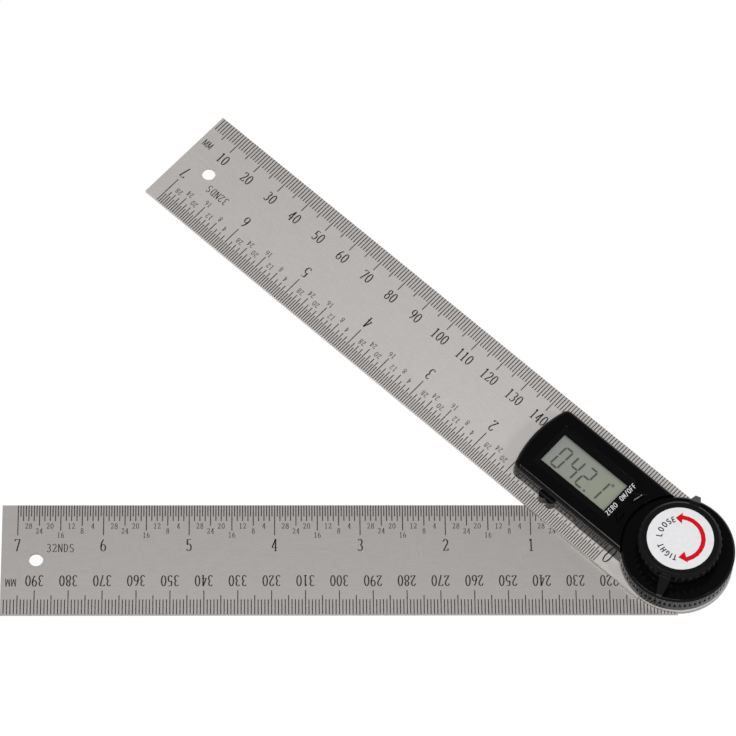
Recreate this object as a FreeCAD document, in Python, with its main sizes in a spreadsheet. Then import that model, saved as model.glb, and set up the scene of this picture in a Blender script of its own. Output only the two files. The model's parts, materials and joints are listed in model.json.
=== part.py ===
"""Digital angle rule: two steel rules on one pivot, a display housing and a screw-down lock knob.

Millimetres. The origin lies on the pivot axis, in the plane that the rule rests on. +Z is the
pivot axis, towards the lock knob. The lower rule runs along -X. The upper rule, with everything
on it, is drawn along -X as well and then turned about the pivot by the opening angle.
"""

import os
import re

import FreeCAD
import Part
import Sketcher

DRIVING_SIZES = {
    # rules
    "opening_angle": 42.75,
    "blade_width": 35.0,
    "blade_length": 200.0,
    "blade_thickness": 1.2,
    "blade_end_radius": 17.1,
    "blade_gap": 0.3,
    "hanging_hole_radius": 2.1,
    "hanging_hole_inset": 10.3,
    # pivot
    "flange_radius": 9.0,
    "flange_thickness": 0.6,
    "key_radius": 6.5,
    "key_flat": 5.3,
    "journal_radius": 5.2,
    "running_clearance": 0.05,
    "bush_radius": 7.0,
    "bush_collar_radius": 9.5,
    "bush_collar_thickness": 2.0,
    "rotor_radius": 14.0,
    "rotor_thickness": 0.9,
    "rotor_nut_half_flats": 5.5,
    "rotor_nut_thickness": 0.8,
    "stud_radius": 3.0,
    "stud_tip_chamfer": 0.5,
    "friction_washer_radius": 13.0,
    # housing
    "box_half_width": 12.65,
    "box_height": 7.0,
    "box_end_arc": 35.0,
    "box_corner_radius": 2.5,
    "box_edge_round": 1.3,
    "box_draft_angle": 2.4,
    "box_root": 9.0,
    "wall_thickness": 1.3,
    "draft_allowance": 0.2,
    "head_radius": 17.0,
    "head_height": 6.5,
    "head_edge_bevel": 0.6,
    "head_roof_thickness": 1.4,
    "base_ring_height": 2.3,
    "groove_width": 0.2,
    "groove_depth": 1.5,
    "lintel_width": 1.2,
    "flute_depth": 0.36,
    "flute_width": 1.0,
    "flute_pitch_angle": 5.2,
    "flute_count": 49.0,
    "flute_margin": 0.65,
    # display
    "window_near_end": 21.6,
    "window_length": 29.4,
    "window_far_margin": 4.4,
    "window_width": 15.2,
    "window_corner": 1.2,
    "window_thickness": 0.6,
    "window_sink": 0.4,
    "window_clearance": 0.1,
    "panel_offset": 0.3,
    "panel_end_margin": 1.2,
    "panel_width": 14.6,
    "panel_glass": 0.55,
    "panel_shelf": 2.0,
    "panel_gap": 0.05,
    "ledge_lap": 0.7,
    "strip_width": 1.4,
    # electronics
    "board_thickness": 0.6,
    "board_side_margin": 0.55,
    "board_end_margin": 4.4,
    "board_ring_radius": 15.2,
    "board_eye_radius": 7.0,
    "board_clearance": 0.2,
    "stator_gap": 0.3,
    "chip_size": 6.0,
    "chip_thickness": 0.9,
    "chip_place": 24.4,
    "dome_radius": 1.6,
    "dome_top_radius": 0.9,
    "dome_height": 0.5,
    # keys
    "key_inner_x": 19.2,
    "key_inner_y": 1.3,
    "key_outer_x": 17.9,
    "key_outer_y": 6.7,
    "key_back_x": 20.9,
    "key_back_y": 4.3,
    "key_fit": 0.86,
    "key_collar": 1.32,
    "key_collar_thickness": 0.35,
    "key_rise": 0.5,
    "key_bevel_angle": 30.0,
    "key_stem_width": 1.6,
    # screws
    "far_boss_inset": 2.4,
    "far_boss_y": 8.0,
    "near_boss_x": 25.5,
    "boss_width": 3.2,
    "screw_radius": 0.8,
    "screw_length": 5.0,
    "screw_clearance": 0.05,
    "snap_x": 22.6,
    "snap_width": 2.4,
    "snap_post": 1.2,
    "snap_lip": 0.45,
    "snap_lip_thickness": 0.6,
    # battery drawer
    "cell_radius": 10.0,
    "cell_thickness": 3.2,
    "cell_step": 0.3,
    "cell_rim": 1.1,
    "cell_x": 40.15,
    "cell_y": 1.0,
    "cell_clearance": 0.15,
    "drawer_wall": 0.85,
    "drawer_floor": 0.3,
    "drawer_lift": 0.2,
    "drawer_front_sink": 0.1,
    "drawer_clearance": 0.2,
    "drawer_open_back": 8.2,
    "guide_thickness": 0.7,
    "guide_end": 8.0,
    "grip_radius": 1.6,
    "grip_spacing": 2.7,
    "contact_thickness": 0.15,
    "contact_width": 6.0,
    "contact_gap": 0.05,
    # lock knob
    "wing_angle": 67.6,
    "thrust_washer_thickness": 1.0,
    "washer_radius": 8.0,
    "stud_hole_clearance": 0.6,
    "washer_clearance": 0.3,
    "knob_height": 6.6,
    "knob_radius": 12.15,
    "knob_skirt_radius": 11.4,
    "knob_skirt_height": 3.2,
    "knob_cap_height": 0.9,
    "knob_cap_chamfer": 0.7,
    "knob_roof_thickness": 1.3,
    "tooth_count": 36.0,
    "tooth_gap_depth": 0.42,
    "tooth_gap_width": 1.25,
    "insert_half_flats": 5.0,
    "insert_length": 3.8,
    "insert_sink": 0.2,
    "thread_clearance": 0.03,
    "stud_end_gap": 0.7,
    "label_radius": 9.9,
    "label_thickness": 0.25,
    "label_sink": 0.3,
    "wing_root": 10.4,
    "wing_knee": 13.1,
    "wing_tip": 17.0,
    "wing_root_width": 2.6,
    "wing_knee_width": 3.4,
    "wing_tip_width": 1.7,
    "wing_knee_drop": 0.7,
    "wing_tip_height": 1.5,
}

# Heights that follow from the stack of pieces on the pivot, as formulas of the driving sizes.
LOWER_TOP = "(flange_thickness + blade_thickness)"
UPPER_UNDERSIDE = f"({LOWER_TOP} + blade_gap)"
DECK = f"({UPPER_UNDERSIDE} + blade_thickness)"
BOX_TOP = f"({DECK} + box_height)"
BOX_CEILING = f"({BOX_TOP} - wall_thickness)"
HEAD_TOP = f"({DECK} + head_height)"
HEAD_CEILING = f"({HEAD_TOP} - head_roof_thickness)"
DRAWER_UNDERSIDE = f"({DECK} + drawer_lift)"
CELL_UNDERSIDE = f"({DRAWER_UNDERSIDE} + drawer_floor)"
CELL_TOP = f"({CELL_UNDERSIDE} + cell_thickness)"
BOARD_UNDERSIDE = f"({CELL_TOP} + board_clearance)"
BOARD_TOP = f"({BOARD_UNDERSIDE} + board_thickness)"
ROTOR_TOP = f"({BOARD_UNDERSIDE} - stator_gap)"
ROTOR_UNDERSIDE = f"({ROTOR_TOP} - rotor_thickness)"
WINDOW_TOP = f"({BOX_TOP} - window_sink)"
WINDOW_UNDERSIDE = f"({WINDOW_TOP} - window_thickness)"
PANEL_TOP = f"({BOX_CEILING} - panel_gap)"
PANEL_STEP = f"({PANEL_TOP} - panel_glass)"
KNOB_UNDERSIDE = f"({HEAD_TOP} + thrust_washer_thickness)"
KNOB_TOP = f"({KNOB_UNDERSIDE} + knob_height)"
LABEL_SEAT = f"({KNOB_TOP} - label_sink)"
KNOB_BORE_TOP = f"({LABEL_SEAT} - knob_roof_thickness)"
STUD_TOP = f"({KNOB_BORE_TOP} - stud_end_gap)"

# A 45 degree countersunk head, as high as the rule is thick.
SCREW_HEAD_RADIUS = "(screw_radius + blade_thickness)"
INNER_HALF_WIDTH = "(box_half_width - wall_thickness - draft_allowance)"
BOX_FAR_END = "(window_near_end + window_length + window_far_margin)"
PANEL_NEAR_END = "(window_near_end + panel_end_margin + panel_offset)"
PANEL_FAR_END = "(window_near_end + window_length - panel_end_margin + panel_offset)"
BOARD_HALF_WIDTH = f"({INNER_HALF_WIDTH} - board_side_margin)"
BOARD_FAR_END = f"({BOX_FAR_END} - board_end_margin)"
DRAWER_FRONT = "(box_half_width - drawer_front_sink)"
INNER_ARC = "(box_end_arc - wall_thickness)"
LINTEL_RADIUS = "(head_radius + lintel_width)"
DRAWER_RADIUS = "(cell_radius + cell_clearance + drawer_wall)"
BAY_HALF_LENGTH = f"({DRAWER_RADIUS} + drawer_clearance)"

document = FreeCAD.newDocument("angle_rule")
sizes = document.addObject("Spreadsheet::Sheet", "sizes")
for row, (alias, number) in enumerate(DRIVING_SIZES.items(), start=1):
    sizes.set(f"A{row}", alias)
    sizes.set(f"B{row}", str(number))
    sizes.setAlias(f"B{row}", alias)
document.recompute()


# ---------------------------------------------------------------- helpers

def named(formula):
    """The formula as an expression: every size in it is looked up in the sheet."""
    return re.sub(r"\b([a-z]+(?:_[a-z]+)+)\b", r"sizes.\1", formula)


def value(formula):
    return float(sizes.evalExpression(named(formula)))


def bind(item, property_path, formula):
    item.setExpression(property_path, named(formula))


def sketch_on(body, name, height="0", plane="XY"):
    """A sketch on one of the body's own origin planes, raised by height along the plane's normal."""
    sketch = body.newObject("Sketcher::SketchObject", name)
    support = next(item for item in body.Origin.OriginFeatures if item.Role == plane + "_Plane")
    sketch.AttachmentSupport = [(support, "")]
    sketch.MapMode = "FlatFace"
    bind(sketch, "AttachmentOffset.Base.z", height)
    return sketch


def hold_point(sketch, shape, point, x, y):
    """Dimensions from the sketch's origin to one point of a shape."""
    for kind, formula in (("DistanceX", x), ("DistanceY", y)):
        constraint = Sketcher.Constraint(kind, -1, 1, shape, point, value(formula))
        index = sketch.addConstraint(constraint)
        bind(sketch, f"Constraints[{index}]", formula)


def add_circle(sketch, radius, x="0", y="0"):
    centre = FreeCAD.Vector(value(x), value(y), 0)
    shape = sketch.addGeometry(Part.Circle(centre, FreeCAD.Vector(0, 0, 1), value(radius)), False)
    index = sketch.addConstraint(Sketcher.Constraint("Radius", shape, value(radius)))
    bind(sketch, f"Constraints[{index}]", radius)
    hold_point(sketch, shape, 3, x, y)


def add_outline(sketch, corners, arcs=None, hollow_side=None):
    """A closed outline, drawn anticlockwise through the corners. arcs gives the radius of each
    side that is an arc. It bulges outwards, apart from the one hollow side."""
    arcs = arcs or {}
    places = [FreeCAD.Vector(value(x), value(y), 0) for x, y in corners]
    for side, (x, y) in enumerate(corners):
        start = places[side]
        end = places[(side + 1) % len(places)]
        if side in arcs:
            radius = value(arcs[side])
            chord = end - start
            sagitta = radius - (radius ** 2 - chord.Length ** 2 / 4) ** 0.5
            outward = FreeCAD.Vector(chord.y, -chord.x, 0).normalize()
            if side == hollow_side:
                sagitta = -sagitta
            middle = (start + end) / 2 + outward * sagitta
            shape = sketch.addGeometry(Part.Arc(start, middle, end), False)
            index = sketch.addConstraint(Sketcher.Constraint("Radius", shape, radius))
            bind(sketch, f"Constraints[{index}]", arcs[side])
        else:
            shape = sketch.addGeometry(Part.LineSegment(start, end), False)
        if side not in arcs:
            hold_point(sketch, shape, 1, x, y)
            hold_point(sketch, shape, 2, *corners[(side + 1) % len(corners)])
    for side in arcs:
        before, after = (side - 1) % len(corners), (side + 1) % len(corners)
        first, last = (2, 1) if side == hollow_side else (1, 2)
        sketch.addConstraint(Sketcher.Constraint("Coincident", side, first, before, 2))
        sketch.addConstraint(Sketcher.Constraint("Coincident", side, last, after, 1))


def add_rectangle(sketch, low_x, high_x, low_y, high_y):
    add_outline(sketch, [(low_x, low_y), (high_x, low_y), (high_x, high_y), (low_x, high_y)])


def add_rounded_rectangle(sketch, low_x, high_x, half_width, corner):
    near_x, far_x = f"{low_x} + {corner}", f"{high_x} - {corner}"
    low_y, high_y = f"-({half_width})", f"{half_width}"
    near_y, far_y = f"{low_y} + {corner}", f"{high_y} - {corner}"
    corners = [(near_x, low_y), (far_x, low_y), (high_x, near_y), (high_x, far_y),
               (far_x, high_y), (near_x, high_y), (low_x, far_y), (low_x, near_y)]
    add_outline(sketch, corners, {side: corner for side in (1, 3, 5, 7)})


def add_hexagon(sketch, half_flats):
    across = f"{half_flats} / cos(30 * 1 deg)"
    corners = [(f"{across} * cos({angle} * 1 deg)", f"{across} * sin({angle} * 1 deg)")
               for angle in range(0, 360, 60)]
    add_outline(sketch, corners)


def add_notch(sketch, rim_radius, depth, width, angle="0"):
    """A V-shaped notch into a rim about the pivot. Its mouth runs on past the rim."""
    turn = f"({angle} * 1 deg)"
    mouth, floor = f"({rim_radius} + {depth})", f"({rim_radius} - {depth})"
    points = ((mouth, f"-{width}"), (mouth, width), (floor, "0"))
    add_outline(sketch, [(f"{out} * cos{turn} - ({side}) * sin{turn}",
                          f"{out} * sin{turn} + ({side}) * cos{turn}") for out, side in points])


def pad(body, sketch, length, taper=None):
    feature = body.newObject("PartDesign::Pad", sketch.Name + "_pad")
    feature.Profile = sketch
    bind(feature, "Length", length)
    if taper:
        bind(feature, "TaperAngle", taper)
    sketch.Visibility = False
    return feature


def pocket(body, sketch, length, upwards=False, taper=None):
    """A cut from the sketch down into the body, or up into it."""
    feature = body.newObject("PartDesign::Pocket", sketch.Name + "_pocket")
    feature.Profile = sketch
    feature.Reversed = upwards
    bind(feature, "Length", length)
    if taper:
        bind(feature, "TaperAngle", taper)
    sketch.Visibility = False
    return feature


def revolve(body, sketch):
    """The half section in the sketch on the XZ plane, turned about Z."""
    feature = body.newObject("PartDesign::Revolution", sketch.Name + "_revolution")
    feature.Profile = sketch
    axis = next(item for item in body.Origin.OriginFeatures if item.Role == "Z_Axis")
    feature.ReferenceAxis = (axis, [""])
    feature.Angle = 360
    return feature


def repeat_about_pivot(body, feature, count, total_angle="360"):
    pattern = body.newObject("PartDesign::PolarPattern", feature.Name + "_pattern")
    pattern.Originals = [feature]
    axis = next(item for item in body.Origin.OriginFeatures if item.Role == "Z_Axis")
    pattern.Axis = (axis, [""])
    bind(pattern, "Angle", total_angle)
    bind(pattern, "Occurrences", count)
    body.Tip = pattern
    return pattern


def dress_edges(body, kind, size_property, size, wanted):
    """A Fillet or Chamfer on those edges of the body's last feature that wanted() accepts."""
    document.recompute()
    base = body.Tip
    edges = [f"Edge{number}" for number, edge in enumerate(base.Shape.Edges, start=1) if wanted(edge)]
    feature = body.newObject("PartDesign::" + kind, base.Name + "_" + kind.lower())
    feature.Base = (base, edges)
    bind(feature, size_property, size)
    return feature


def draft_walls(body, wanted):
    """Leans the wanted walls of the body's last feature inwards, about their foot on the deck."""
    document.recompute()
    base = body.Tip
    foot, walls = "", []
    for number, face in enumerate(base.Shape.Faces, start=1):
        name = f"Face{number}"
        level = face.BoundBox.ZLength < 1e-4
        if level and at_height(face, DECK):
            foot = name
        elif not level and wanted(face):
            walls.append(name)
    feature = body.newObject("PartDesign::Draft", base.Name + "_draft")
    feature.Base = (base, walls)
    feature.NeutralPlane = (base, [foot])
    bind(feature, "Angle", "box_draft_angle")
    return feature


def at_height(edge, formula):
    return all(abs(vertex.Z - value(formula)) < 1e-4 for vertex in edge.Vertexes)


def is_upright(edge):
    ends = [vertex.Point for vertex in edge.Vertexes]
    if len(ends) != 2:
        return False
    along = ends[1] - ends[0]
    return abs(along.z) > 0.5 * along.Length


def new_body(label, turned_by=None):
    body = document.addObject("PartDesign::Body", label)
    body.Label = label
    place(body, turned_by)
    return body


def place(item, turned_by):
    """Every piece is drawn where it lies, apart from a turn about the pivot."""
    item.Placement = FreeCAD.Placement(FreeCAD.Vector(0, 0, 0), FreeCAD.Rotation(FreeCAD.Vector(0, 0, 1), 0))
    if turned_by:
        bind(item, "Placement.Rotation.Angle", f"({turned_by}) * 1 deg")


def ring(label, outer, inner, underside, thickness, turned_by=None):
    """A flat washer about the pivot."""
    body = new_body(label, turned_by)
    sketch = sketch_on(body, label + "_outline", underside)
    add_circle(sketch, outer)
    add_circle(sketch, inner)
    pad(body, sketch, thickness)
    return body


def block(label, low_x, length, low_y, width, underside, thickness, turned_by):
    """A rectangular piece, from its lowest corner."""
    body = new_body(label, turned_by)
    sketch = sketch_on(body, label + "_outline", underside)
    add_rectangle(sketch, low_x, f"{low_x} + {length}", low_y, f"{low_y} + {width}")
    pad(body, sketch, thickness)
    return body


UPPER = "-opening_angle"
KNOB = "wing_angle"
pieces = []


def keep(item):
    pieces.append(item)
    return item


# ---------------------------------------------------------------- rules

def key_outline(sketch):
    """The round with two flats that stops the hub from turning in the lower rule."""
    half_flat = "sqrt(key_radius ^ 2 - key_flat ^ 2)"
    corners = [(f"-{half_flat}", "-key_flat"), (half_flat, "-key_flat"),
               (half_flat, "key_flat"), (f"-{half_flat}", "key_flat")]
    add_outline(sketch, corners, {1: "key_radius", 3: "key_radius"})


def build_blade(label, underside, turned_by=None):
    body = new_body(label, turned_by)
    strip = sketch_on(body, label + "_strip", underside)
    add_rectangle(strip, "-blade_length", "0", "-blade_width / 2", "blade_width / 2")
    pad(body, strip, "blade_thickness")
    end = sketch_on(body, label + "_end", underside)
    add_circle(end, "blade_end_radius")
    pad(body, end, "blade_thickness")
    hole = sketch_on(body, label + "_hanging_hole", underside)
    add_circle(hole, "hanging_hole_radius", "hanging_hole_inset - blade_length")
    pocket(body, hole, "blade_thickness", upwards=True)
    return keep(body)


def build_lower_blade():
    body = build_blade("lower_blade", "flange_thickness")
    keyhole = sketch_on(body, "lower_blade_keyhole", "flange_thickness")
    key_outline(keyhole)
    pocket(body, keyhole, "blade_thickness", upwards=True)


def housing_screw_places():
    """Two corners of the box, across from each other."""
    beside_wall = f"({INNER_HALF_WIDTH} + panel_gap - boss_width / 2)"
    return (f"-({BOX_FAR_END} - far_boss_inset)", "far_boss_y"), ("-near_boss_x", f"-{beside_wall}")


def build_upper_blade():
    body = build_blade("upper_blade", UPPER_UNDERSIDE, UPPER)
    eye = sketch_on(body, "upper_blade_eye", UPPER_UNDERSIDE)
    add_circle(eye, "bush_radius")
    pocket(body, eye, "blade_thickness", upwards=True)
    sinks = sketch_on(body, "upper_blade_countersinks", UPPER_UNDERSIDE)
    for x, y in housing_screw_places():
        add_circle(sinks, f"{SCREW_HEAD_RADIUS} + screw_clearance", x, y)
    pocket(body, sinks, "blade_thickness", upwards=True, taper="-45")


# ---------------------------------------------------------------- pivot

def build_pivot_hub():
    body = new_body("pivot_hub")
    section = sketch_on(body, "pivot_hub_section", plane="XZ")
    tip_radius = "stud_radius - stud_tip_chamfer"
    add_outline(section, [
        ("0", "0"), ("flange_radius", "0"), ("flange_radius", "flange_thickness"),
        ("journal_radius", "flange_thickness"), ("journal_radius", ROTOR_UNDERSIDE),
        ("stud_radius", ROTOR_UNDERSIDE), ("stud_radius", f"{STUD_TOP} - stud_tip_chamfer"),
        (tip_radius, STUD_TOP), ("0", STUD_TOP)])
    revolve(body, section)
    key = sketch_on(body, "pivot_hub_key", "flange_thickness")
    key_outline(key)
    pad(body, key, "blade_thickness")
    keep(body)


def build_pivot_bush():
    body = new_body("pivot_bush", UPPER)
    section = sketch_on(body, "pivot_bush_section", plane="XZ")
    bore = "journal_radius + running_clearance"
    collar_top = f"{DECK} + bush_collar_thickness"
    add_outline(section, [
        (bore, UPPER_UNDERSIDE), ("bush_radius", UPPER_UNDERSIDE), ("bush_radius", DECK),
        ("bush_collar_radius", DECK), ("bush_collar_radius", collar_top), (bore, collar_top)])
    revolve(body, section)
    keep(body)


def build_rotor():
    keep(ring("friction_washer", "friction_washer_radius", "key_radius + running_clearance",
              LOWER_TOP, "blade_gap - running_clearance"))
    keep(ring("rotor_disc", "rotor_radius", "stud_radius", ROTOR_UNDERSIDE, "rotor_thickness"))
    nut = keep(new_body("rotor_nut"))
    hexagon = sketch_on(nut, "rotor_nut_outline", ROTOR_TOP)
    add_hexagon(hexagon, "rotor_nut_half_flats")
    add_circle(hexagon, "stud_radius")
    pad(nut, hexagon, "rotor_nut_thickness")


# ---------------------------------------------------------------- housing

def arc_corner(far_end, radius, half_width):
    """Where an end arc of this radius meets a side wall."""
    return f"(-({far_end}) + {radius} - sqrt(({radius}) ^ 2 - ({half_width}) ^ 2))"


def circle_corner(radius, half_width):
    """Where a circle about the pivot crosses a side wall, on the side of the box."""
    return f"(-sqrt(({radius}) ^ 2 - ({half_width}) ^ 2))"


def key_corners(mirror, scale="1"):
    """The triangle of a key: long side along the head, point towards the display."""
    middle_x = "((key_inner_x + key_outer_x + key_back_x) / 3)"
    middle_y = "((key_inner_y + key_outer_y + key_back_y) / 3)"
    corners = []
    for name in ("inner", "outer", "back"):
        x = f"-({middle_x} + (key_{name}_x - {middle_x}) * {scale})"
        y = f"{mirror}({middle_y} + (key_{name}_y - {middle_y}) * {scale})"
        corners.append((x, y))
    return corners


def key_middle(mirror):
    x = "-((key_inner_x + key_outer_x + key_back_x) / 3)"
    y = f"{mirror}((key_inner_y + key_outer_y + key_back_y) / 3)"
    return x, y


def build_housing():
    body = keep(new_body("housing", UPPER))
    # the box over the display, with draft on its walls and rounded edges
    corner = arc_corner(BOX_FAR_END, "box_end_arc", "box_half_width")
    outline = sketch_on(body, "box_outline", DECK)
    add_outline(outline, [(corner, "-box_half_width"), ("-box_root", "-box_half_width"),
                          ("-box_root", "box_half_width"), (corner, "box_half_width")],
                {3: "box_end_arc"})
    pad(body, outline, "box_height")
    middle = value(f"-{BOX_FAR_END} / 2")
    draft_walls(body, lambda face: face.Surface.TypeId != "Part::GeomPlane" or face.normalAt(0, 0).x < 0.5)
    dress_edges(body, "Fillet", "Radius", "box_corner_radius",
                lambda edge: is_upright(edge) and edge.CenterOfMass.x < middle)
    root = value("-box_root")
    dress_edges(body, "Fillet", "Radius", "box_edge_round",
                lambda edge: at_height(edge, BOX_TOP) and edge.CenterOfMass.x < root - 1)
    # the round head, a step lower, with a fine groove between it and the box
    clearing = sketch_on(body, "head_clearing", BOX_TOP)
    add_circle(clearing, "head_radius + groove_width")
    pocket(body, clearing, "groove_depth")
    head = sketch_on(body, "head_outline", DECK)
    add_circle(head, "head_radius")
    pad(body, head, "head_height")
    dress_edges(body, "Chamfer", "Size", "head_edge_bevel", lambda edge: at_height(edge, HEAD_TOP))
    flute = sketch_on(body, "flute_outline", f"{DECK} + base_ring_height")
    first = "(-(flute_count - 1) * flute_pitch_angle / 2)"
    add_notch(flute, "head_radius", "flute_depth", "flute_width", first)
    flute_cut = pocket(body, flute, "head_height - base_ring_height - flute_margin", upwards=True)
    repeat_about_pivot(body, flute_cut, "flute_count", "(flute_count - 1) * flute_pitch_angle")
    # the hollow under the head, and the deeper one under the box
    hollow = sketch_on(body, "head_hollow", DECK)
    add_circle(hollow, "head_radius - wall_thickness")
    pocket(body, hollow, f"{HEAD_CEILING} - {DECK}", upwards=True)
    inner_corner = arc_corner(f"{BOX_FAR_END} - wall_thickness", INNER_ARC, INNER_HALF_WIDTH)
    neck = sketch_on(body, "neck_hollow", DECK)
    add_outline(neck, [(inner_corner, f"-{INNER_HALF_WIDTH}"), ("-box_root", f"-{INNER_HALF_WIDTH}"),
                       ("-box_root", INNER_HALF_WIDTH), (inner_corner, INNER_HALF_WIDTH)],
                {3: INNER_ARC})
    pocket(body, neck, f"{HEAD_CEILING} - {DECK}", upwards=True)
    lintel = circle_corner(LINTEL_RADIUS, INNER_HALF_WIDTH)
    ceiling = sketch_on(body, "box_hollow", DECK)
    add_lintel_outline(ceiling, inner_corner, lintel)
    pocket(body, ceiling, f"{BOX_CEILING} - {DECK}", upwards=True)
    build_housing_openings(body)
    build_housing_bosses(body)
    build_drawer_bay(body)


def add_lintel_outline(sketch, far_corner, near_corner):
    """The box's inside up to the lintel, whose curve about the pivot bulges into it."""
    far = (INNER_HALF_WIDTH, INNER_ARC)
    corners = [(far_corner, f"-{far[0]}"), (near_corner, f"-{far[0]}"),
               (near_corner, far[0]), (far_corner, far[0])]
    add_outline(sketch, corners, {3: far[1], 1: LINTEL_RADIUS}, hollow_side=1)


def build_housing_openings(body):
    recess = sketch_on(body, "window_recess", BOX_TOP)
    add_rounded_rectangle(recess, "-window_near_end - window_length", "-window_near_end",
                          "window_width / 2", "window_corner")
    pocket(body, recess, "window_sink + window_thickness")
    opening = sketch_on(body, "display_opening", WINDOW_UNDERSIDE)
    add_rectangle(opening, f"-{PANEL_FAR_END} + ledge_lap", f"-{PANEL_NEAR_END} - ledge_lap",
                  "-panel_width / 2 + ledge_lap", "panel_width / 2 - ledge_lap")
    pocket(body, opening, f"{WINDOW_UNDERSIDE} - {BOX_CEILING}")
    for mirror, name in (("", "on_off"), ("-", "zero")):
        hole = sketch_on(body, name + "_key_hole", BOX_TOP)
        add_outline(hole, key_corners(mirror))
        pocket(body, hole, "wall_thickness")
    stud_hole = sketch_on(body, "stud_hole", HEAD_TOP)
    add_circle(stud_hole, "stud_radius + stud_hole_clearance")
    pocket(body, stud_hole, "head_roof_thickness")


def build_housing_bosses(body):
    for name, (x, y) in zip(("far", "near"), housing_screw_places()):
        boss = sketch_on(body, f"screw_boss_{name}", DECK)
        add_rectangle(boss, f"{x} - boss_width / 2", f"{x} + boss_width / 2",
                      f"{y} - boss_width / 2", f"{y} + boss_width / 2")
        pad(body, boss, f"{BOX_CEILING} - {DECK} + panel_gap")
    pilots = sketch_on(body, "screw_pilots", DECK)
    for x, y in housing_screw_places():
        add_circle(pilots, "screw_radius", x, y)
    pocket(body, pilots, "screw_length", upwards=True)
    build_board_snaps(body)


def build_board_snaps(body):
    """Posts that the circuit board seats against, each beside a snap hook with a lip under its edge."""
    low, high = "-snap_x - snap_width / 2", "-snap_x + snap_width / 2"
    lip_underside = f"({BOARD_UNDERSIDE} - snap_lip_thickness)"
    levels = (("post", f"{BOARD_HALF_WIDTH} - snap_post", BOARD_TOP),
              ("hook", f"{BOARD_HALF_WIDTH} + panel_gap", BOARD_UNDERSIDE),
              ("lip", f"{BOARD_HALF_WIDTH} - snap_lip", lip_underside))
    for name, inner, underside in levels:
        top = BOARD_UNDERSIDE if name == "lip" else f"({BOX_CEILING} + panel_gap)"
        outline = sketch_on(body, f"snap_{name}", underside)
        add_rectangle(outline, low, high, inner, f"{INNER_HALF_WIDTH} + panel_gap")
        add_rectangle(outline, low, high, f"-{INNER_HALF_WIDTH} - panel_gap", f"-({inner})")
        pad(body, outline, f"{top} - {underside}")


def build_drawer_bay(body):
    low, high = f"-cell_x - {BAY_HALF_LENGTH}", f"-cell_x + {BAY_HALF_LENGTH}"
    guides = ((f"{low} - guide_thickness", low), (high, f"{high} + guide_thickness"))
    for number, (start, end) in enumerate(guides, start=1):
        guide = sketch_on(body, f"drawer_guide_{number}", DECK)
        add_rectangle(guide, start, end, f"-{INNER_HALF_WIDTH} - panel_gap", "guide_end")
        pad(body, guide, f"{CELL_TOP} - {DECK}")
    mouth = sketch_on(body, "drawer_mouth", DECK)
    add_rectangle(mouth, low, high, "-box_half_width - drawer_clearance", f"-{INNER_HALF_WIDTH}")
    pocket(body, mouth, f"{CELL_TOP} - {DECK} + drawer_clearance", upwards=True)


# ---------------------------------------------------------------- display and electronics

def build_display():
    window = keep(new_body("display_window", UPPER))
    sheet = sketch_on(window, "display_window_outline", WINDOW_UNDERSIDE)
    add_rounded_rectangle(sheet, "-window_near_end - window_length + window_clearance",
                          "-window_near_end - window_clearance",
                          "window_width / 2 - window_clearance", "window_corner")
    pad(window, sheet, "window_thickness")
    panel = keep(new_body("display_panel", UPPER))
    low, high = f"-{PANEL_FAR_END}", f"-{PANEL_NEAR_END}"
    front = sketch_on(panel, "front_glass", PANEL_STEP)
    add_rectangle(front, low, high, "-panel_width / 2", "panel_width / 2")
    pad(panel, front, "panel_glass")
    rear = sketch_on(panel, "rear_glass", f"{BOARD_TOP} + panel_gap")
    add_rectangle(rear, low, high, "-panel_width / 2 + panel_shelf", "panel_width / 2 - panel_shelf")
    pad(panel, rear, f"{PANEL_STEP} - {BOARD_TOP} - panel_gap")
    strips = keep(new_body("contact_strips", UPPER))
    strip_inner = "panel_width / 2 - panel_shelf + panel_gap * 4"
    for side in ("", "-"):
        outline = sketch_on(strips, "strip_" + ("low" if side else "high"), BOARD_TOP)
        add_strip(outline, side, low, high, strip_inner)
        pad(strips, outline, f"{PANEL_STEP} - {BOARD_TOP}")


def add_strip(sketch, side, low, high, inner):
    ends = (f"{inner}", f"{inner} + strip_width")
    if side:
        ends = (f"-({ends[1]})", f"-({ends[0]})")
    add_rectangle(sketch, f"{low} + ledge_lap", f"{high} - ledge_lap", *ends)


def build_circuit_board():
    body = keep(new_body("circuit_board", UPPER))
    plate = sketch_on(body, "board_plate", BOARD_UNDERSIDE)
    add_rectangle(plate, f"-{BOARD_FAR_END}", "-box_root", f"-{BOARD_HALF_WIDTH}", BOARD_HALF_WIDTH)
    pad(body, plate, "board_thickness")
    stator = sketch_on(body, "board_stator", BOARD_UNDERSIDE)
    add_circle(stator, "board_ring_radius")
    pad(body, stator, "board_thickness")
    eye = sketch_on(body, "board_eye", BOARD_TOP)
    add_circle(eye, "board_eye_radius")
    pocket(body, eye, "board_thickness")
    notches = sketch_on(body, "board_notches", BOARD_TOP)
    reach = "(boss_width / 2 + board_clearance)"
    for x, y in housing_screw_places():
        add_rectangle(notches, f"{x} - {reach}", f"{x} + {reach}", f"{y} - {reach}", f"{y} + {reach}")
    pocket(body, notches, "board_thickness")
    keep(block("processor_chip", "-chip_place - chip_size / 2", "chip_size", "-chip_size / 2", "chip_size",
               f"{BOARD_UNDERSIDE} - chip_thickness", "chip_thickness", UPPER))


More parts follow.
